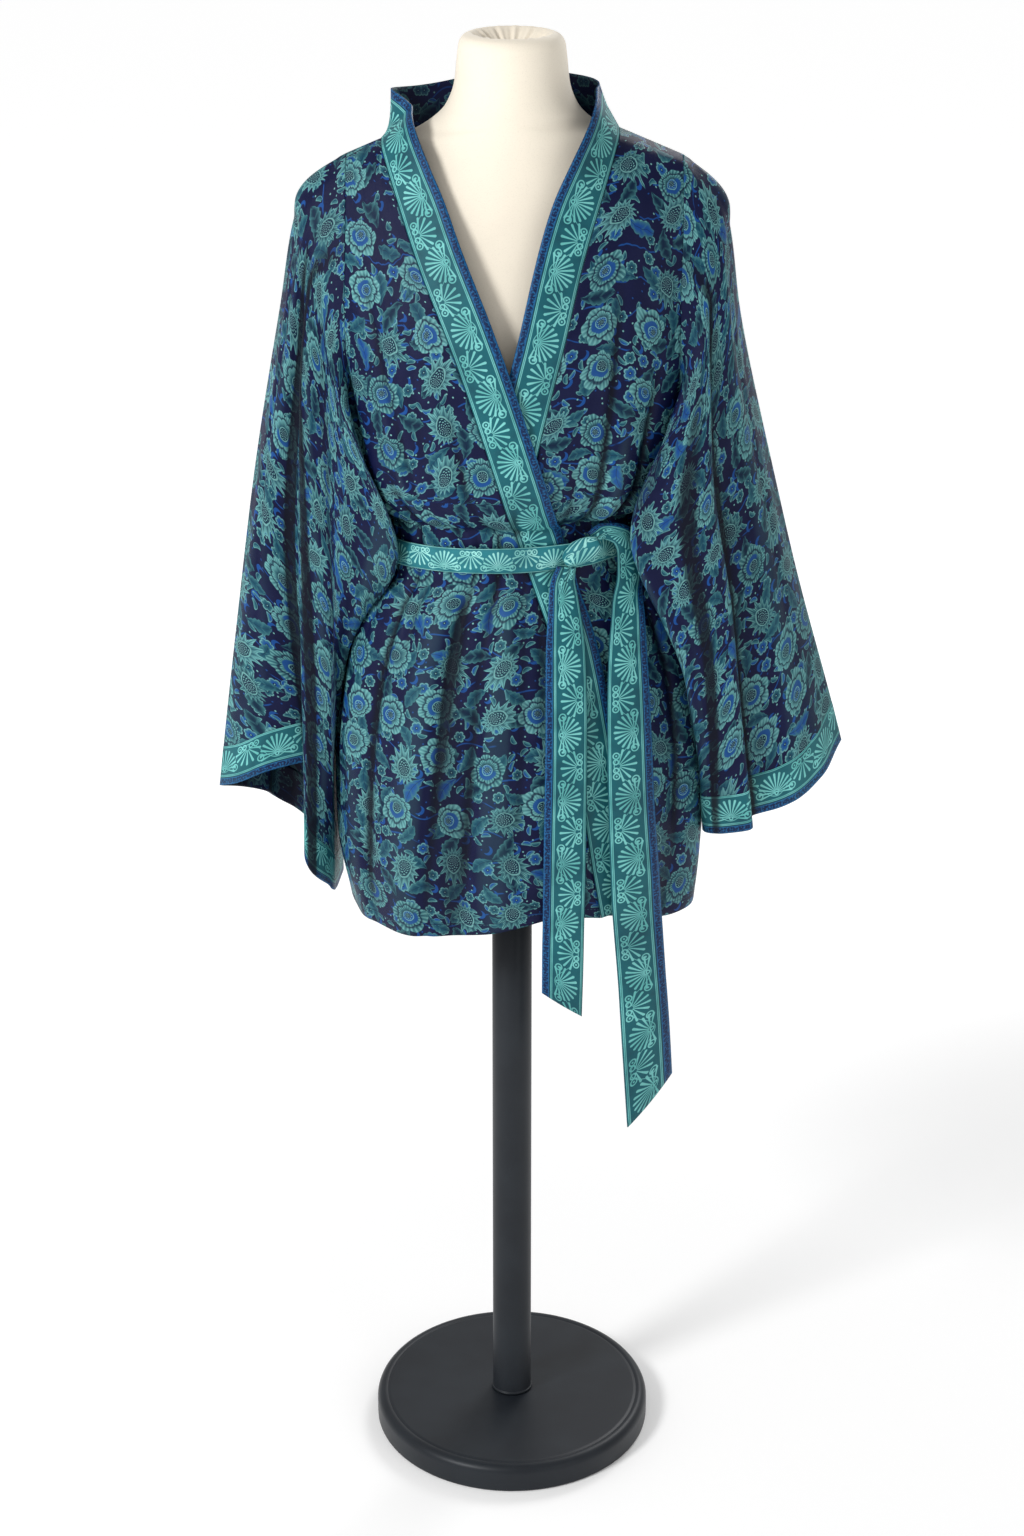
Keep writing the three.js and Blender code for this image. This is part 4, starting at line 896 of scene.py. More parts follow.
# Materials are written as arithmetic on values, each step a node.
class Value:
    def __init__(self, tree, socket):
        self.tree, self.socket = tree, socket

    def step(self, operation, *others):
        node = self.tree.nodes.new("ShaderNodeMath")
        node.operation = operation
        for k, value in enumerate((self, *others)):
            if isinstance(value, Value):
                self.tree.links.new(value.socket, node.inputs[k])
            else:
                node.inputs[k].default_value = value
        return Value(self.tree, node.outputs[0])

    def __add__(self, other):
        return self.step("ADD", other)

    __radd__ = __add__

    def __sub__(self, other):
        return self.step("SUBTRACT", other)

    def __rsub__(self, other):
        return self.step("MULTIPLY_ADD", -1.0, other)

    def __mul__(self, other):
        return self.step("MULTIPLY", other)

    __rmul__ = __mul__

    def __truediv__(self, other):
        return self.step("DIVIDE", other)

    def sin(self):
        return self.step("SINE")

    def cos(self):
        return self.step("COSINE")

    def size(self):
        return self.step("ABSOLUTE")

    def root(self):
        return self.step("SQRT")

    def power(self, other):
        return self.step("POWER", other)

    def floor(self):
        return self.step("FLOOR")

    def part(self):
        return self.step("FRACT")

    def over(self, other):
        return self.step("GREATER_THAN", other)

    def most(self, other):
        return self.step("MAXIMUM", other)

    # 0 at low and 1 at high, in a smooth step; low may be the larger.
    def ramp(self, low, high):
        node = self.tree.nodes.new("ShaderNodeMapRange")
        node.interpolation_type = "SMOOTHSTEP"
        self.tree.links.new(self.socket, node.inputs["Value"])
        down = low > high
        node.inputs["From Min"].default_value = min(low, high)
        node.inputs["From Max"].default_value = max(low, high)
        node.inputs["To Min"].default_value = 1.0 if down else 0.0
        node.inputs["To Max"].default_value = 0.0 if down else 1.0
        return Value(self.tree, node.outputs["Result"])

    # 1 within half a width of a place, fading over soft.
    def line(self, place, half, soft):
        return (self - place).size().ramp(half + soft, half)


def hypot(x, y):
    return (x * x + y * y).root()


def angle(y, x):
    return y.step("ARCTAN2", x)


def linear(colour):
    return (*(((c / 255 + 0.055) / 1.055) ** 2.4 if c > 10 else c / 255 / 12.92 for c in colour), 1)


class Paint:
    """A material's nodes: places on the cloth in millimetres, and colours laid over each other."""

    def __init__(self, name):
        self.material = bpy.data.materials.new(name)
        self.material.use_nodes = True
        self.tree = self.material.node_tree
        self.shader = self.tree.nodes["Principled BSDF"]

    def new(self, kind, **settings):
        node = self.tree.nodes.new(kind)
        for key, value in settings.items():
            setattr(node, key, value)
        return node

    def cloth(self):
        node = self.new("ShaderNodeUVMap", uv_map="cloth")
        split = self.new("ShaderNodeSeparateXYZ")
        self.tree.links.new(node.outputs[0], split.inputs[0])
        return Value(self.tree, split.outputs[0]) * 1000, Value(self.tree, split.outputs[1]) * 1000

    def vector(self, x, y):
        node = self.new("ShaderNodeCombineXYZ")
        self.tree.links.new(x.socket, node.inputs[0])
        self.tree.links.new(y.socket, node.inputs[1])
        return node.outputs[0]

    def noise(self, x, y, size, detail):
        node = self.new("ShaderNodeTexNoise", noise_dimensions="2D")
        node.inputs["Scale"].default_value = 1.0
        node.inputs["Detail"].default_value = detail
        self.tree.links.new(self.vector(x / size, y / size), node.inputs["Vector"])
        return Value(self.tree, node.outputs["Fac"])

    # The nearest motif's centre: the way from it in millimetres, and three random numbers of its own.
    def cells(self, x, y, size, loose, shift):
        node = self.new("ShaderNodeTexVoronoi", voronoi_dimensions="2D", feature="F1")
        node.inputs["Scale"].default_value = 1.0
        node.inputs["Randomness"].default_value = loose
        px, py = x / size + shift, y / size + shift * 1.7
        self.tree.links.new(self.vector(px, py), node.inputs["Vector"])
        place = self.new("ShaderNodeSeparateXYZ")
        self.tree.links.new(node.outputs["Position"], place.inputs[0])
        hue = self.new("ShaderNodeSeparateColor")
        self.tree.links.new(node.outputs["Color"], hue.inputs[0])
        dx = (px - Value(self.tree, place.outputs[0])) * size
        dy = (py - Value(self.tree, place.outputs[1])) * size
        return dx, dy, [Value(self.tree, hue.outputs[k]) for k in range(3)]

    def blend(self, under, over, share):
        node = self.new("ShaderNodeMix", data_type="RGBA")
        for key, value in ((0, share), (6, under), (7, over)):
            if isinstance(value, Value):
                self.tree.links.new(value.socket, node.inputs[key])
            elif isinstance(value, bpy.types.NodeSocket):
                self.tree.links.new(value, node.inputs[key])
            elif key == 0:
                node.inputs[key].default_value = value
            else:
                node.inputs[key].default_value = linear(value)
        return node.outputs[2]

    def colour(self, socket):
        self.tree.links.new(socket, self.shader.inputs["Base Color"])

    # A colour with painted shade in the cloth's folds and a little painted highlight along their ridges.
    def fold_shade_and_highlight(self, colour):
        node = self.new("ShaderNodeAttribute", attribute_name="hollow")
        hollow = Value(self.tree, node.outputs["Fac"])
        dark = self.blend(colour, SHADE, hollow.ramp(-0.2, 1.2) * 0.92)
        return self.blend(dark, PALE, hollow.ramp(-0.6, -1.8) * 0.05)

    def bump(self, height, strength, distance):
        node = self.new("ShaderNodeBump")
        node.inputs["Strength"].default_value = strength
        node.inputs["Distance"].default_value = distance * M
        self.tree.links.new(height.socket, node.inputs["Height"])
        self.tree.links.new(node.outputs[0], self.shader.inputs["Normal"])

    def finish(self, **sockets):
        for key, value in sockets.items():
            self.shader.inputs[key.replace("_", " ")].default_value = value
        return self.material


# A flower or a thistle-like leaf in polar places round its own heart, laid over a colour. Its outline is
# an egg or a drop with lobes. Where flower is 1, a second ring of petals lies over the first.
def bloom(paint, under, r, phi, reach, egg, petals, heart, inks, flower):
    low, high, core = inks
    half = phi * petals * 0.5
    q = r / reach
    heart_q = r / (egg * heart)
    body = paint.blend(low, high, q.ramp(0.3, 1.0))
    strokes = (phi * petals * 4).cos()
    body = paint.blend(body, low, strokes.ramp(0.1, 0.9) * q.ramp(1.0, 0.5) * 0.8)
    body = paint.blend(body, PALE, strokes.ramp(0.2, -0.7) * q.ramp(0.55, 0.98) * 0.6)
    body = paint.blend(body, INDIGO, (half.cos().size() * r).ramp(1.5, 0.4) * 0.9)
    over = half.sin().size()
    q2 = r / (egg * (over.root() * 0.16 + 0.5))
    petal = paint.blend(low, high, q2.ramp(0.35, 1.0))
    petal = paint.blend(petal, PALE, strokes.ramp(0.2, -0.7) * q2.ramp(0.6, 0.98) * 0.55)
    petal = paint.blend(petal, INDIGO, (over * r).ramp(1.1, 0.3) * 0.7)
    body = paint.blend(body, petal, q2.ramp(1.03, 0.97) * flower)
    body = paint.blend(body, INDIGO, q2.line(1.08, 0.03, 0.09) * flower * 0.8)
    crescent = heart_q.line(1.35, 0.26, 0.08) * phi.cos().ramp(-0.2, 0.3)
    body = paint.blend(body, BLUE, crescent * flower * 0.9)
    middle = paint.blend(core, INDIGO, heart_q.ramp(0.75, 0.35))
    seeds = ((phi * 9).sin() * (r * 2.1).sin()).ramp(0.15, 0.5) * heart_q.ramp(0.85, 0.75)
    middle = paint.blend(middle, PALE, seeds.most(heart_q.line(0.95, 0.04, 0.06)) * 0.7)
    body = paint.blend(body, middle, heart_q.ramp(1.05, 0.98))
    return paint.blend(under, body, q.ramp(1.02, 0.97))


def between(a, b, share):
    return (b - a) * share + a


# A bent leaf with a toothed edge and veins, laid over a colour.
def leaf(paint, under, dx, dy, turn, length, width, teeth, fill, rim):
    c, s = (turn * FULL).cos(), (turn * FULL).sin()
    x, y = (dx * c + dy * s) / length, (dy * c - dx * s) / length
    bent = y - x * x * 0.24 + 0.08
    taper = ((1 - x * x) * (x * 0.45 + 1)).most(0.001)
    half = taper * width * ((x * teeth).sin().size() * 0.22 + 0.86)
    q = bent.size() / half
    body = paint.blend(fill, SAGE, q.ramp(0.2, 0.95) * 0.6)
    veins = ((x - bent.size() * 0.9) * teeth * 1.1).sin().ramp(0.55, 0.95)
    body = paint.blend(body, rim, veins * 0.35)
    body = paint.blend(body, INDIGO, bent.size().ramp(0.03, 0.01) * 0.6)
    body = paint.blend(body, rim, q.line(0.91, 0.05, 0.05) * 0.8)
    return paint.blend(under, body, q.ramp(1.03, 0.94))


# Small blossoms, a bent blue sprig and dots fill the ground between the large motifs.
def small_fill(paint, ground, x, y):
    wave = y + (x / 17).sin() * 8 + (x / 7.3 + y / 23).sin() * 3
    stem = ((wave / 31).part() - 0.5).size() * 31
    broken = paint.noise(x, y, 24, 1.0).ramp(0.44, 0.52)
    cloth = paint.blend(ground, BLUE, stem.ramp(0.95, 0.5) * broken * 0.9)
    dx, dy, chance = paint.cells(x, y, 8.5, 0.9, 3.3)
    dots = hypot(dx, dy).ramp(1.05, 0.7) * chance[0].over(0.45)
    cloth = paint.blend(cloth, paint.blend(BLUE, PALE, chance[1].over(0.4)), dots * 0.8)
    dx, dy, chance = paint.cells(x, y, 25, 0.75, 7.9)
    outer, bite = hypot(dx, dy), hypot(dx + 2.4, dy - 1.8)
    crescent = outer.ramp(5.2, 4.8) * bite.ramp(4.4, 4.9)
    cloth = paint.blend(cloth, BLUE, crescent * chance[0].over(0.25))
    dx, dy, chance = paint.cells(x, y, 14, 0.85, 4.4)
    c, s = (chance[0] * FULL).cos(), (chance[0] * FULL).sin()
    u, v = dx * c + dy * s, dy * c - dx * s
    q = hypot(u / 5.6, (v - u * u * 0.06) / 2.3)
    leaflet = paint.blend(paint.blend(TEAL, BLUE, chance[1].over(0.7)), SAGE, v.ramp(-0.4, 0.9) * 0.8)
    leaflet = paint.blend(leaflet, PALE, q.line(0.86, 0.05, 0.08) * 0.5)
    cloth = paint.blend(cloth, leaflet, q.ramp(1.04, 0.94) * chance[2].over(0.38))
    dx, dy, chance = paint.cells(x, y, 21, 0.8, 1.7)
    r = hypot(dx, dy)
    phi = angle(dy, dx) + chance[0] * FULL
    q = r / ((phi * 3).cos().size().root() * 2.2 + 3.6 + chance[1] * 1.4)
    shown = chance[2].over(0.42)
    blossom = paint.blend(paint.blend(TEAL, BLUE, chance[1].over(0.62)), SAGE, q.ramp(0.3, 0.9) * 0.7)
    blossom = paint.blend(blossom, PALE, q.line(0.88, 0.05, 0.09) * 0.55)
    blossom = paint.blend(blossom, INDIGO, r.ramp(1.7, 1.2))
    blossom = paint.blend(blossom, PALE, r.ramp(0.7, 0.4))
    return paint.blend(cloth, blossom, q.ramp(1.03, 0.93) * shown)


# The flower print: large flowers and thistle leaves over toothed leaves over small fill.
def flower_print(paint, x, y):
    drift = paint.noise(x, y, 34, 1.0)
    ground = paint.blend(INDIGO, PLUM, drift.ramp(0.35, 0.7))
    cloth = small_fill(paint, ground, x, y)
    dx, dy, chance = paint.cells(x, y, 34, 0.6, 5.1)
    fill = paint.blend(TEAL, paint.blend(DEEP_TEAL, BLUE, chance[2].over(0.72)), chance[1].over(0.55))
    cloth = leaf(paint, cloth, dx, dy, chance[0], chance[1] * 5 + 13, 0.42, 9.0, fill, SAGE)
    dx, dy, chance = paint.cells(x, y, 52, 0.4, 0.35)
    wobble = paint.noise(x, y, 9, 1.0) - 0.5
    c, s = (chance[2] * FULL).cos(), (chance[2] * FULL).sin()
    is_thistle = chance[0].over(0.52)
    u, v = dx * c + dy * s, (dy * c - dx * s) * (is_thistle * 0.2 + chance[1] * 0.25 + 0.95)
    r = hypot(u, v) * (wobble * 0.22 + 1)
    phi = angle(v, u)
    low = paint.blend(DEEP_TEAL, TEAL, chance[1].over(0.6) * 0.5)
    high = paint.blend(RIM, SAGE, chance[2].over(0.7))
    petals = between((chance[1] * 3.99 + 6).floor(), 15, is_thistle)
    core = paint.blend(BLUE, DEEP_TEAL, chance[1].over(0.45).most(is_thistle))
    tilt = chance[0] * 0.8
    egg = (chance[1] * 4 + 19) * (phi.cos() * tilt + (1 - tilt * 0.35))
    drop = (chance[1] * 3 + 24) * ((phi.size() * 0.06 - 0.42) * phi.size() + 1.3)
    lobes = (phi * petals * 0.5).cos().size().power(0.6) * 0.22 + 0.78
    teeth = (phi * 7.5).sin().size() * -0.36 + 1
    flower = is_thistle.line(0.0, 0.4, 0.1)
    reach = between(egg * lobes, drop * teeth, is_thistle)
    heart = is_thistle * 0.15 + 0.3
    egg = between(egg, drop, is_thistle)
    return bloom(paint, cloth, r, phi, reach, egg, petals, heart, (low, high, core), flower)


def weave(paint, x, y):
    threads = (x * (FULL / THREAD_PITCH)).sin() * (y * (FULL / THREAD_PITCH)).sin()
    slub = paint.noise(x * 0.25, y, 2.2, 0.0)
    paint.bump(threads * 0.5 + slub, 0.35, WEAVE_HEIGHT)


def stitches(x, y, place):
    return (x * (FULL / STITCH)).sin().ramp(-0.3, 0.1) * y.line(place, 0.2, 0.2)


def print_material(name, reverse):
    paint = Paint(name)
    x, y = paint.cloth()
    cloth = flower_print(paint, x, y)
    wear = paint.noise(x, y, 120, 1.0)
    cloth = paint.blend(cloth, INDIGO, wear.ramp(0.35, 0.75) * 0.12)
    if reverse:
        cloth = paint.blend(cloth, INDIGO, 0.55)
    else:
        cloth = paint.blend(cloth, SAGE, stitches(x, y, HEM_STITCHES) * 0.6)
        cloth = paint.blend(cloth, INDIGO, y.line(HEM_STITCHES + 1.2, 0.3, 0.5) * 0.5)
    # Painted shade in the folds and a faint painted highlight on the ridges, over the print.
    paint.colour(paint.fold_shade_and_highlight(cloth))
    weave(paint, x, y)
    return paint.finish(
        Roughness=0.46,
        Specular_IOR_Level=0.12,
        Sheen_Weight=0.02,
        Sheen_Roughness=0.4,
        Sheen_Tint=linear(PRINT_SHEEN),
    )


# The border print: shell fans and curled palmettes by turns on a winding stem, between pale double lines.
# x runs along the band; y is millimetres from its free edge.
FAN_PERIOD = 68.0
BORDER_MIDDLE = 26.5


# A fan of teardrop ribs, opening to dy, in millimetres from its heart.
def fan(dx, dy, opening, ribs, reach):
    r = hypot(dx, dy)
    phi = angle(dx, dy)
    pitch = 2 * opening / ribs
    off = ((phi / pitch + 0.5).part() - 0.5) * pitch
    side = (off.sin() * r).size()
    tip = off.cos() * r
    half = (tip / reach).power(1.4) * 1.15 + 0.3
    longest = phi.cos() * 0.1 * reach + 0.9 * reach
    body = (half - side).ramp(-0.12, 0.2) * (tip + side * side * 0.6 - longest).ramp(0.1, -0.5)
    return body * phi.size().ramp(opening + 0.01, opening - 0.01) * r.ramp(1.6, 2.2)


def ring(dx, dy, radius, half):
    return hypot(dx, dy).line(radius, half, 0.3)


def border_cloth(paint, x, y, strip):
    drift = paint.noise(x, y, 30, 2.0)
    ground, bright = (BORDER_TEAL, BORDER_PALE) if strip else (SASH_TEAL, SASH_PALE)
    cloth = paint.blend(ground, DEEP_TEAL, drift.ramp(0.4, 0.85) * 0.5)
    along = ((x / FAN_PERIOD).part() - 0.5) * FAN_PERIOD
    other = ((x / FAN_PERIOD + 0.5).part() - 0.5) * FAN_PERIOD
    across = y - BORDER_MIDDLE
    stem = (across + (x * (FULL / FAN_PERIOD) + math.pi).cos() * 12.4).size()
    marks = stem.ramp(0.6, 0.3) * 0.85
    marks = marks.most(fan(along, across + 8.2, 1.95, 13.0, 21.0))
    marks = marks.most(fan(other, 8.4 - across, 1.5, 7.0, 19.0))
    marks = marks.most(ring(along, across + 9.4, 1.7, 0.45))
    for side in (-1, 1):
        marks = marks.most(ring(other + side * 4.2, across - 10.6, 2.4, 0.5))
        marks = marks.most(ring(other + side * 10.4, across - 10.2, 3.0, 0.5))
        marks = marks.most(hypot(other + side * 10.4, across - 10.2).ramp(1.1, 0.8))
        marks = marks.most(ring(other + side * 16.2, across + 8.4, 3.4, 0.45))
        marks = marks.most(hypot(other + side * 16.2, across + 8.4).ramp(1.2, 0.9))
    inside = across.size().ramp(14.4, 14.0)
    pale = paint.blend(bright, BORDER_WORN, drift.ramp(0.35, 0.7) * 0.6)
    cloth = paint.blend(cloth, pale, marks * inside * 0.92)
    for place in (-17.0, -15.6, 15.6, 17.0):
        cloth = paint.blend(cloth, pale, across.line(place, 0.28, 0.3) * 0.8)
    if strip:
        speck = paint.noise(x, y, 2.4, 2.0)
        ladder = (x * (FULL / 3.1)).sin().ramp(0.2, 0.8) * y.line(4.2, 1.6, 0.6)
        blue = paint.blend(STRIP_BLUE, STRIP_SPECK, speck.ramp(0.46, 0.6) * 0.8)
        blue = paint.blend(blue, INDIGO, ladder * 0.7)
        blue = paint.blend(blue, STRIP_SPECK, y.line(0.9, 0.3, 0.3).most(y.line(7.2, 0.25, 0.3)) * 0.8)
        cloth = paint.blend(cloth, blue, y.ramp(7.8, 7.5))
        cloth = paint.blend(cloth, INDIGO, y.line(8.2, 0.2, 0.4) * 0.7)
    return cloth


def border_material(name, strip, darkness, seam_lines):
    paint = Paint(name)
    x, y = paint.cloth()
    cloth = border_cloth(paint, x, y, strip)
    wear = paint.noise(x, y, 90, 3.0)
    cloth = paint.blend(cloth, DEEP_TEAL, wear.ramp(0.4, 0.8) * 0.22)
    for place in seam_lines:
        cloth = paint.blend(cloth, SAGE, stitches(x, y, place) * 0.5)
    if darkness:
        cloth = paint.blend(cloth, INDIGO, darkness)
    # Painted shade in the folds and a faint painted highlight on the ridges, over the border print.
    paint.colour(paint.fold_shade_and_highlight(cloth))
    weave(paint, x, y)
    return paint.finish(
        Roughness=0.48,
        Specular_IOR_Level=0.2,
        Sheen_Weight=0.04,
        Sheen_Roughness=0.4,
        Sheen_Tint=linear(BORDER_SHEEN),
    )


def object_space(paint):
    node = paint.new("ShaderNodeTexCoord")
    return node.outputs["Object"]


def noise_3d(paint, place, scale, detail):
    node = paint.new("ShaderNodeTexNoise")
    node.inputs["Scale"].default_value = scale
    node.inputs["Detail"].default_value = detail
    paint.tree.links.new(place, node.inputs["Vector"])
    return Value(paint.tree, node.outputs["Fac"])


def jersey_material():
    paint = Paint("cream_jersey")
    place = object_space(paint)
    tone = noise_3d(paint, place, 9, 3)
    knit = noise_3d(paint, place, 900, 2)
    cloth = paint.blend(CREAM, CREAM_WORN, tone.ramp(0.35, 0.8) * 0.55)
    cloth = paint.blend(cloth, CREAM_GRAIN, knit.ramp(0.5, 0.75) * 0.25)
    paint.colour(cloth)
    paint.bump(knit, 0.35, 0.3)
    return paint.finish(Roughness=0.82, Specular_IOR_Level=0.25, Sheen_Weight=0.25, Sheen_Roughness=0.5)


def metal_material():
    paint = Paint("charcoal_coat")
    place = object_space(paint)
    tone = noise_3d(paint, place, 14, 3)
    grain = noise_3d(paint, place, 1400, 1)
    coat = paint.blend(CHARCOAL, CHARCOAL_DARK, tone.ramp(0.3, 0.7))
    coat = paint.blend(coat, CHARCOAL_GRAIN, grain.ramp(0.62, 0.8) * 0.3)
    paint.colour(coat)
    paint.bump(grain, 0.12, 0.2)
    return paint.finish(Roughness=0.42, Metallic=0.1, Specular_IOR_Level=0.3)


def settle(piece, node):
    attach(piece, "root")
    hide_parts(node)
    return piece


def area_of(grid, closed):
    lines = np.concatenate([grid, grid[:1]]) if closed else grid
    a = lines[1:, :-1] - lines[:-1, :-1]
    b = lines[:-1, 1:] - lines[:-1, :-1]
    return float(np.linalg.norm(np.cross(a, b), axis=-1).sum()) * M * M


def declare(grid, uv, closed):
    width = float((uv[-1, :, 0] - uv[0, :, 0]).max())
    length = float(uv[..., 1].max() - uv[..., 1].min())
    area = min(area_of(grid, closed), width * length)


PRINT = (print_material("flower_print", False), print_material("flower_print_reverse", True))
BAND = (border_material("band_print", True, 0.0, (10.0, 44.0)), print_material("band_reverse", True))
SASH_PRINT = (border_material("sash_print", False, 0.0, ()), border_material("sash_reverse", False, 0.35, ()))
JERSEY = jersey_material()
METAL = metal_material()

# Panels
fronts = {side: front_grid(side) for side in SIDES}
back = back_grid()

# Where each piece lies in the print, so that no two show the same part of it.
PANEL_SHIFT = {"right": (0, 0), "left": (1010, 0), "back": (-960, 0)}
SLEEVE_SHIFT = {"right": (1850, 260), "left": (2620, 400)}
for side in SIDES:
    uv = cloth_uv(fronts[side], False, PANEL_SHIFT[side])
    panel = shell(f"panel_front_{side}", fronts[side], CLOTH, PRINT, uv)
    settle(panel, f"front_{side}")
    declare(fronts[side], uv, False)
uv = cloth_uv(back, False, PANEL_SHIFT["back"])
panel = settle(shell("panel_back", back, CLOTH, PRINT, uv), "back")
declare(back, uv, False)


# A band's own cloth coordinates: along it, and across it from its free edge.
def band_uv(grid, width, shift, free_last):
    along = arc(grid, 1).mean(axis=0)
    n = len(grid)
    across = np.linspace(width, 0, n) if free_last else np.linspace(0, width, n)
    u = np.broadcast_to(along[None] + shift, grid.shape[:2])
    return np.stack([u, np.broadcast_to(across[:, None], grid.shape[:2])], -1) * M


# Neckbands
for side in SIDES:
    grid = band_grid(side)
    uv = band_uv(grid, BAND_WIDTH, 0 if side == "right" else 9, True)
    if side == "left":
        grid, uv = grid[::-1], uv[::-1]
    band = settle(shell(f"band_{side}", grid, BAND_CLOTH, BAND, uv), f"neckband_{side}")


def sleeve_places(side):
    fine = 1600  # steps round the sleeve that its places are counted out on
    pleats = PLEATS[side]
    u = (np.arange(fine) + 0.5) / fine
    density = np.ones(fine)
    for place, spread in zip(pleats["place"], pleats["spread"]):
        density += 2.4 * np.exp(-(((u - place) / spread / 1.5) ** 2) / 2)
    sums = np.concatenate([[0], np.cumsum(density)])
    return np.interp(np.arange(SLEEVE_ROUND) / SLEEVE_ROUND * sums[-1], sums, np.arange(fine + 1) / fine)


def build_sleeve(side):
    front = fronts[side][0 if side == "right" else -1, LOW_ROWS:][::-1]
    behind = back[-1 if side == "right" else 0, LOW_ROWS:][::-1]
    edges = (front, behind)
    place = sleeve_places(side)
    down = np.linspace(1, 0.5, 400)
    lines = sleeve_points(side, edges, place, np.broadcast_to(down, (len(place), len(down))))
    lengths = arc(lines, 1)
    seam = np.array([np.interp(CUFF_WIDTH, line, down) for line in lengths])
    under = CUFF_OVERLAP * (1 - seam) / CUFF_WIDTH
    rows = (np.arange(SLEEVE_ROWS + 1) / SLEEVE_ROWS) ** 1.15
    cuff_rows = np.arange(CUFF_ROWS + 1) / CUFF_ROWS
    along = np.concatenate([(seam + under)[:, None] * rows, mix(seam[:, None], 1, cuff_rows)], axis=1)
    grid = sleeve_points(side, edges, place, along) + tuck(side, place, along)
    relief = sleeve_relief(place, along)
    shade = pleat_shade(side, place, along)
    if side == "right":
        grid, relief, shade, along = grid[::-1], relief[::-1], shade[::-1], along[::-1]
    grid = clear_of_body(side, grid + grid_normals(grid, True) * relief[..., None], along, SLEEVE_CLEAR)
    normals = grid_normals(grid, True)
    uv = cloth_uv(grid, True, SLEEVE_SHIFT[side])
    cut = SLEEVE_ROWS + 1
    name = f"sleeve_{side}"
    upper, lower = slice(None, cut), slice(cut, None)
    parts = (grid[:, upper], CLOTH, PRINT, uv[:, upper], True, normals[:, upper], shade[:, upper])
    sleeve = shell(f"{name}_cloth", *parts)
    settle(sleeve, name)
    declare(grid[:, upper], uv[:, upper], True)
    cuff_grid = grid[:, lower]
    lines = np.concatenate([cuff_grid, cuff_grid[:1]])
    round_it = arc(lines, 0).mean(axis=1)
    across = np.linspace(CUFF_WIDTH, 0, cuff_grid.shape[1])
    cuff_uv = np.stack(np.broadcast_arrays(round_it[:, None], across[None]), -1) * M
    parts = (cuff_grid, BAND_CLOTH, BAND, cuff_uv, True, normals[:, lower], shade[:, lower])
    cuff = shell(f"cuff_{side}_band", *parts)
    settle(cuff, f"cuff_{side}")


for side in SIDES:
    build_sleeve(side)


def front_points(x, height, out):
    level = level_at(np.maximum(height, BODY["height"][0] + 6))
    turn = turn_at_x(level, lambda _: x)
    p = plain(turn, level) + body_normal(turn, level) * out[..., None]
    p[..., 2] = height
    return p


def waist_layer(turn):
    return mix(over_lap(turn), under_lap(turn), smooth(32, 46, turn)) + WALL / 2


def sash_grid():
    turn = (-180 + 360 * np.arange(SASH_ROUND) / SASH_ROUND)[:, None]
    share = (np.arange(SASH_ROWS + 1) / SASH_ROWS)[None]
    tilt = SASH["tilt"] * np.sin(turn * RAD) * BODY["left"][SASH_LOW]
    height = SASH["middle"] + tilt + SASH["height"] * (share - 0.5)
    level = level_at(height)
    belly = 1.6 * (1 - (2 * share - 1) ** 2)
    creases = 0.35 * np.sin(9 * share + 2.2 * np.sin(3 * turn * RAD))
    creases = creases + 0.25 * np.sin(17 * share + 5 * turn * RAD)
    out = waist_layer(turn) + SASH["clear"] + SASH_CLOTH / 2 + belly
    out = out + np.maximum(0, ridges(FOLDS, turn, level))
    creases = creases * (1 - np.exp(-(((turn - 27) / 14) ** 2)))  # none under the knot
    turn = np.broadcast_to(turn, height.shape)
    return plain(turn, level) + body_normal(turn, level) * (out + creases * (belly > 0.3))[..., None]


grid = sash_grid()
lines = np.concatenate([grid, grid[:1]])
round_it = arc(lines, 0).mean(axis=1)
across = np.linspace(BORDER_MIDDLE - 16.2, BORDER_MIDDLE + 16.2, SASH_ROWS + 1)
uv = np.stack(np.broadcast_arrays(round_it[:, None] * 1.25, across[None]), -1) * M
sash = settle(shell("sash_belt", grid, SASH_CLOTH, SASH_PRINT, uv, True), "sash_waist")


def tail_grid(path, slant):
    last = len(path["x"]) - 1
    steps = np.arange(last + 1.0)
    v = last * np.arange(TAIL_ROWS + 1) / TAIL_ROWS

    def centre(at):
        at = np.clip(at, 0, last)
        return np.stack([curve(steps, path["x"], at), curve(steps, path["height"], at)], -1)

    c, run = centre(v), unit(centre(v + 0.05) - centre(v - 0.05))
    half = curve(steps, path["width"], v) / 2
    u = np.linspace(-1, 1, TAIL_COLUMNS + 1)[:, None]
    cut = slant * u * np.maximum(0, v - last + 1)
    x = c[:, 0] - run[:, 1] * half * u
    height = c[:, 1] + run[:, 0] * half * u + cut
    gathers = 1.1 * np.exp(-v / 1.6) * np.cos(3.2 * math.pi * u)
    waves = 0.5 * np.sin(2.1 * v + 1.3 * u) + 0.3 * np.sin(4.3 * v - 2 * u)
    out = curve(steps, path["out"], v) + 1.5 * (1 - u * u) + gathers + waves * smooth(2.5, 4, v)
    return front_points(x, height, out)


for kind, path in (("short", SHORT_TAIL), ("long", LONG_TAIL)):
    grid = tail_grid(path, SLANT[kind])
    along = arc(grid, 1).mean(axis=0)
    first, last = (0, BAND_WIDTH) if kind == "short" else (BAND_WIDTH, 0)
    across = np.linspace(first, last, TAIL_COLUMNS + 1)
    uv = np.stack(np.broadcast_arrays(along[None], across[:, None]), -1) * M
    materials = (BAND[0], SASH_PRINT[1])
    tail = shell(f"sash_tail_{kind}", grid[::-1], TAIL_CLOTH, materials, uv[::-1])
    settle(tail, f"sash_end_{kind}")


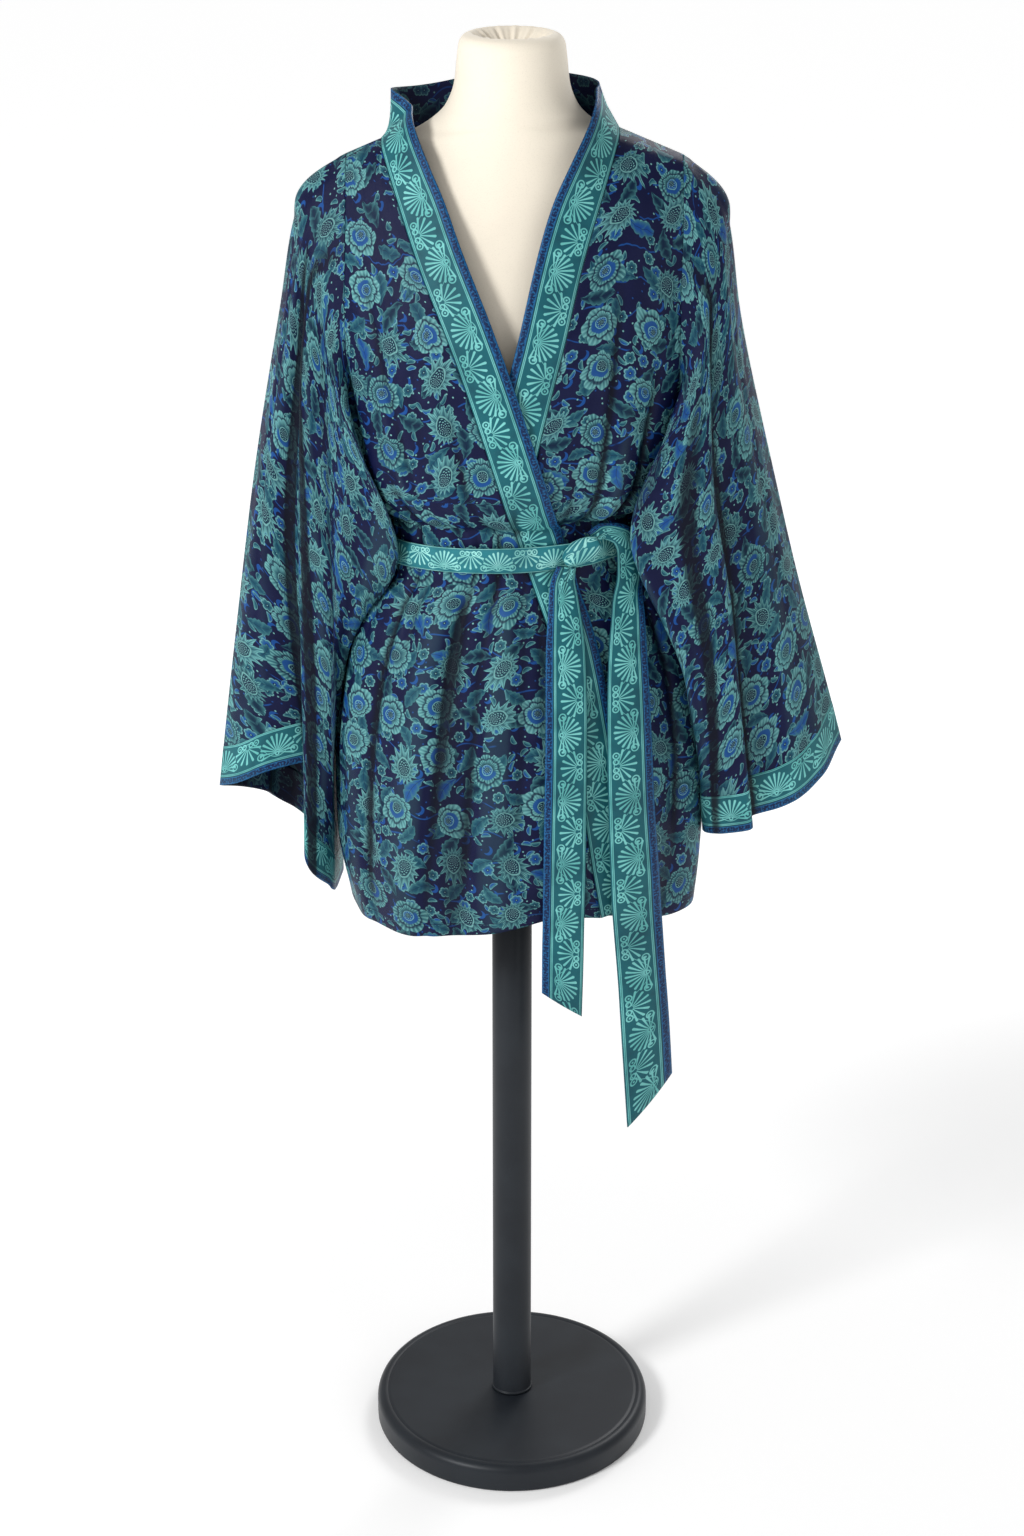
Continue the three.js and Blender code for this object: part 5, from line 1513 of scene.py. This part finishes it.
def knot_rings():
    centre = front_points(np.array([KNOT["x"]]), np.array([KNOT["height"] * 1.0]), np.array([KNOT["out"]]))[0]
    turn = KNOT["turn"] * RAD
    at = -0.94 + 1.88 * np.arange(KNOT_RINGS)[:, None] / (KNOT_RINGS - 1)
    size = np.sqrt(1 - at * at) ** 0.8
    phi = -FULL * np.arange(KNOT_ROUND)[None] / KNOT_ROUND
    ripple_of = 1 + 0.06 * np.cos(3 * phi + at * 2) + 0.02 * np.cos(8 * phi + 5 * at)
    ripple_of = ripple_of - 0.05 * np.exp(-((at + 0.5) / 0.12) ** 2)
    tall = KNOT["tall"] * size * ripple_of * np.cos(phi)
    deep = KNOT["deep"] * size * ripple_of * np.sin(phi)
    long = KNOT["long"] * np.broadcast_to(at, tall.shape)
    x = centre[0] + long * math.cos(turn) - tall * math.sin(turn)
    z = centre[2] + long * math.sin(turn) + tall * math.cos(turn)
    return np.stack([x, centre[1] + deep, z], -1)


knot = settle(rings_piece("sash_wrap", knot_rings(), SASH_PRINT[0]), "sash_knot")
for loop in knot.data.uv_layers["cloth"].data:
    loop.uv = (loop.uv[0] * 0.09, 0.0135 + loop.uv[1] * 0.026)


def form_rings():
    rows = len(FORM["height"]) - 1
    steps = np.arange(rows * FORM_STEPS + 1) / FORM_STEPS
    s = {key: curve(np.arange(rows + 1.0), FORM[key], steps)[:, None] for key in FORM}
    phi = FULL * np.arange(FORM_ROUND)[None] / FORM_ROUND
    across, ahead = np.cos(phi), np.sin(phi)
    depth = np.sign(ahead) * np.abs(ahead) ** s["pinch"] * np.where(ahead < 0, s["front"], s["back"])
    gather = smooth(18.4, 20.4, steps)[:, None] * (1 - smooth(21.6, 22, steps)[:, None])
    gathers = gather * (0.9 * np.cos(17 * phi) + 0.7 * np.cos(29 * phi + 1))
    height = s["height"] - s["fall"] * sag(across) + gathers
    return np.stack([s["reach"] * across, depth, np.broadcast_to(height, depth.shape)], -1)


form = settle(rings_piece("form_cover", form_rings(), JERSEY), "form_torso")


def turned(outline, depth):
    radius, height = (np.array(column, float)[:, None] for column in zip(*outline))
    phi = FULL * np.arange(STAND_ROUND)[None] / STAND_ROUND
    x, y = radius * np.cos(phi), radius * depth * np.sin(phi)
    return np.stack([x, y, np.broadcast_to(height, x.shape)], -1)


def arc_points(radius, height, size, start, end, count):
    angles = np.linspace(start, end, count) * RAD
    return [(radius + size * math.cos(a), height + size * math.sin(a)) for a in angles]


base_outline = (
    [(4, 0), (BASE_RADIUS - 4, 0)]
    + arc_points(BASE_RADIUS - 3, 3, 3, -60, 0, 5)
    + arc_points(BASE_RADIUS - 9, BASE_TOP - 9, 9, 0, 90, 12)
    + arc_points(BASE_RADIUS - 11.5, BASE_TOP + 0.4, 1.2, 250, 290, 5)[::-1]
    + [(BASE_RADIUS - 14, BASE_TOP), (BASE_RADIUS - 15, BASE_TOP), (60, BASE_TOP), (4, BASE_TOP)]
)
pole_outline = (
    [(4, BASE_TOP + 0.3), (POLE_RADIUS + 1.2, BASE_TOP + 0.3)]
    + arc_points(POLE_RADIUS + 0.4, BASE_TOP + 2.2, 1.0, 0, 90, 6)
    + [(POLE_RADIUS, BASE_TOP + 4), (POLE_RADIUS, 400), (POLE_RADIUS, POLE_TOP), (4, POLE_TOP)]
)
settle(rings_piece("stand_foot", turned(base_outline, BASE_DEPTH), METAL), "base")
settle(rings_piece("stand_tube", turned(pole_outline, 1), METAL), "pole")


# Floor, lights and camera
def area_light(name, place, target, size, watts):
    data = bpy.data.lights.new(name, "AREA")
    data.shape, data.size, data.energy = "DISK", size, watts
    lamp = bpy.data.objects.new(name, data)
    lamp.location = place
    aim = np.array(target) - np.array(place)
    tilt = math.acos(-aim[2] / np.linalg.norm(aim))
    lamp.rotation_euler = (tilt, 0, math.atan2(aim[1], aim[0]) - math.pi / 2)
    bpy.context.collection.objects.link(lamp)


def make_floor():
    paint = Paint("pale_floor")
    split = paint.new("ShaderNodeSeparateXYZ")
    paint.tree.links.new(object_space(paint), split.inputs[0])
    away = hypot(Value(paint.tree, split.outputs[0]), Value(paint.tree, split.outputs[1]))
    # The floor glows though it is no lamp: faintly near the stand, so that the lamps' shadow still shows
    # there, and more strongly further off, so that it shows white.
    paint.tree.links.new((away.ramp(0.3, 3.2) * 0.42 + 0.1).socket, paint.shader.inputs["Emission Strength"])
    material = paint.finish(
        Base_Color=(0.93, 0.93, 0.93, 1), Emission_Color=(1, 1, 1, 1), Roughness=0.9, Specular_IOR_Level=0.1
    )
    half = 12.0
    mesh = bpy.data.meshes.new("floor")
    corners = [(-half, -half, 0), (half, -half, 0), (half, half, 0), (-half, half, 0)]
    mesh.from_pydata(corners, [], [(0, 1, 2, 3)])
    mesh.materials.append(material)
    floor = bpy.data.objects.new("floor", mesh)
    bpy.context.collection.objects.link(floor)


make_floor()
area_light("key", (-2.2, -2.0, 2.6), (0, 0, 0.95), 0.9, 78)
area_light("fill", (2.2, -2.4, 1.6), (0, 0, 0.9), 1.6, 8)
area_light("rim", (1.2, 2.2, 2.4), (0, 0, 1.0), 1.2, 30)
world = bpy.data.worlds.new("studio")
bpy.context.scene.world = world
world.use_nodes = True
world.node_tree.nodes["Background"].inputs[0].default_value = (1, 1, 1, 1)
world.node_tree.nodes["Background"].inputs[1].default_value = 0.5
bpy.context.scene.view_settings.view_transform = "Standard"

camera_data = bpy.data.cameras.new("camera")
camera_data.sensor_fit = "VERTICAL"
camera_data.sensor_height = 36
camera_data.lens = 79.0
camera = bpy.data.objects.new("camera", camera_data)
camera.location = (0, -3.24, 2.084)
camera.rotation_euler = (68 * RAD, 0, 0)
bpy.context.collection.objects.link(camera)
bpy.context.scene.camera = camera
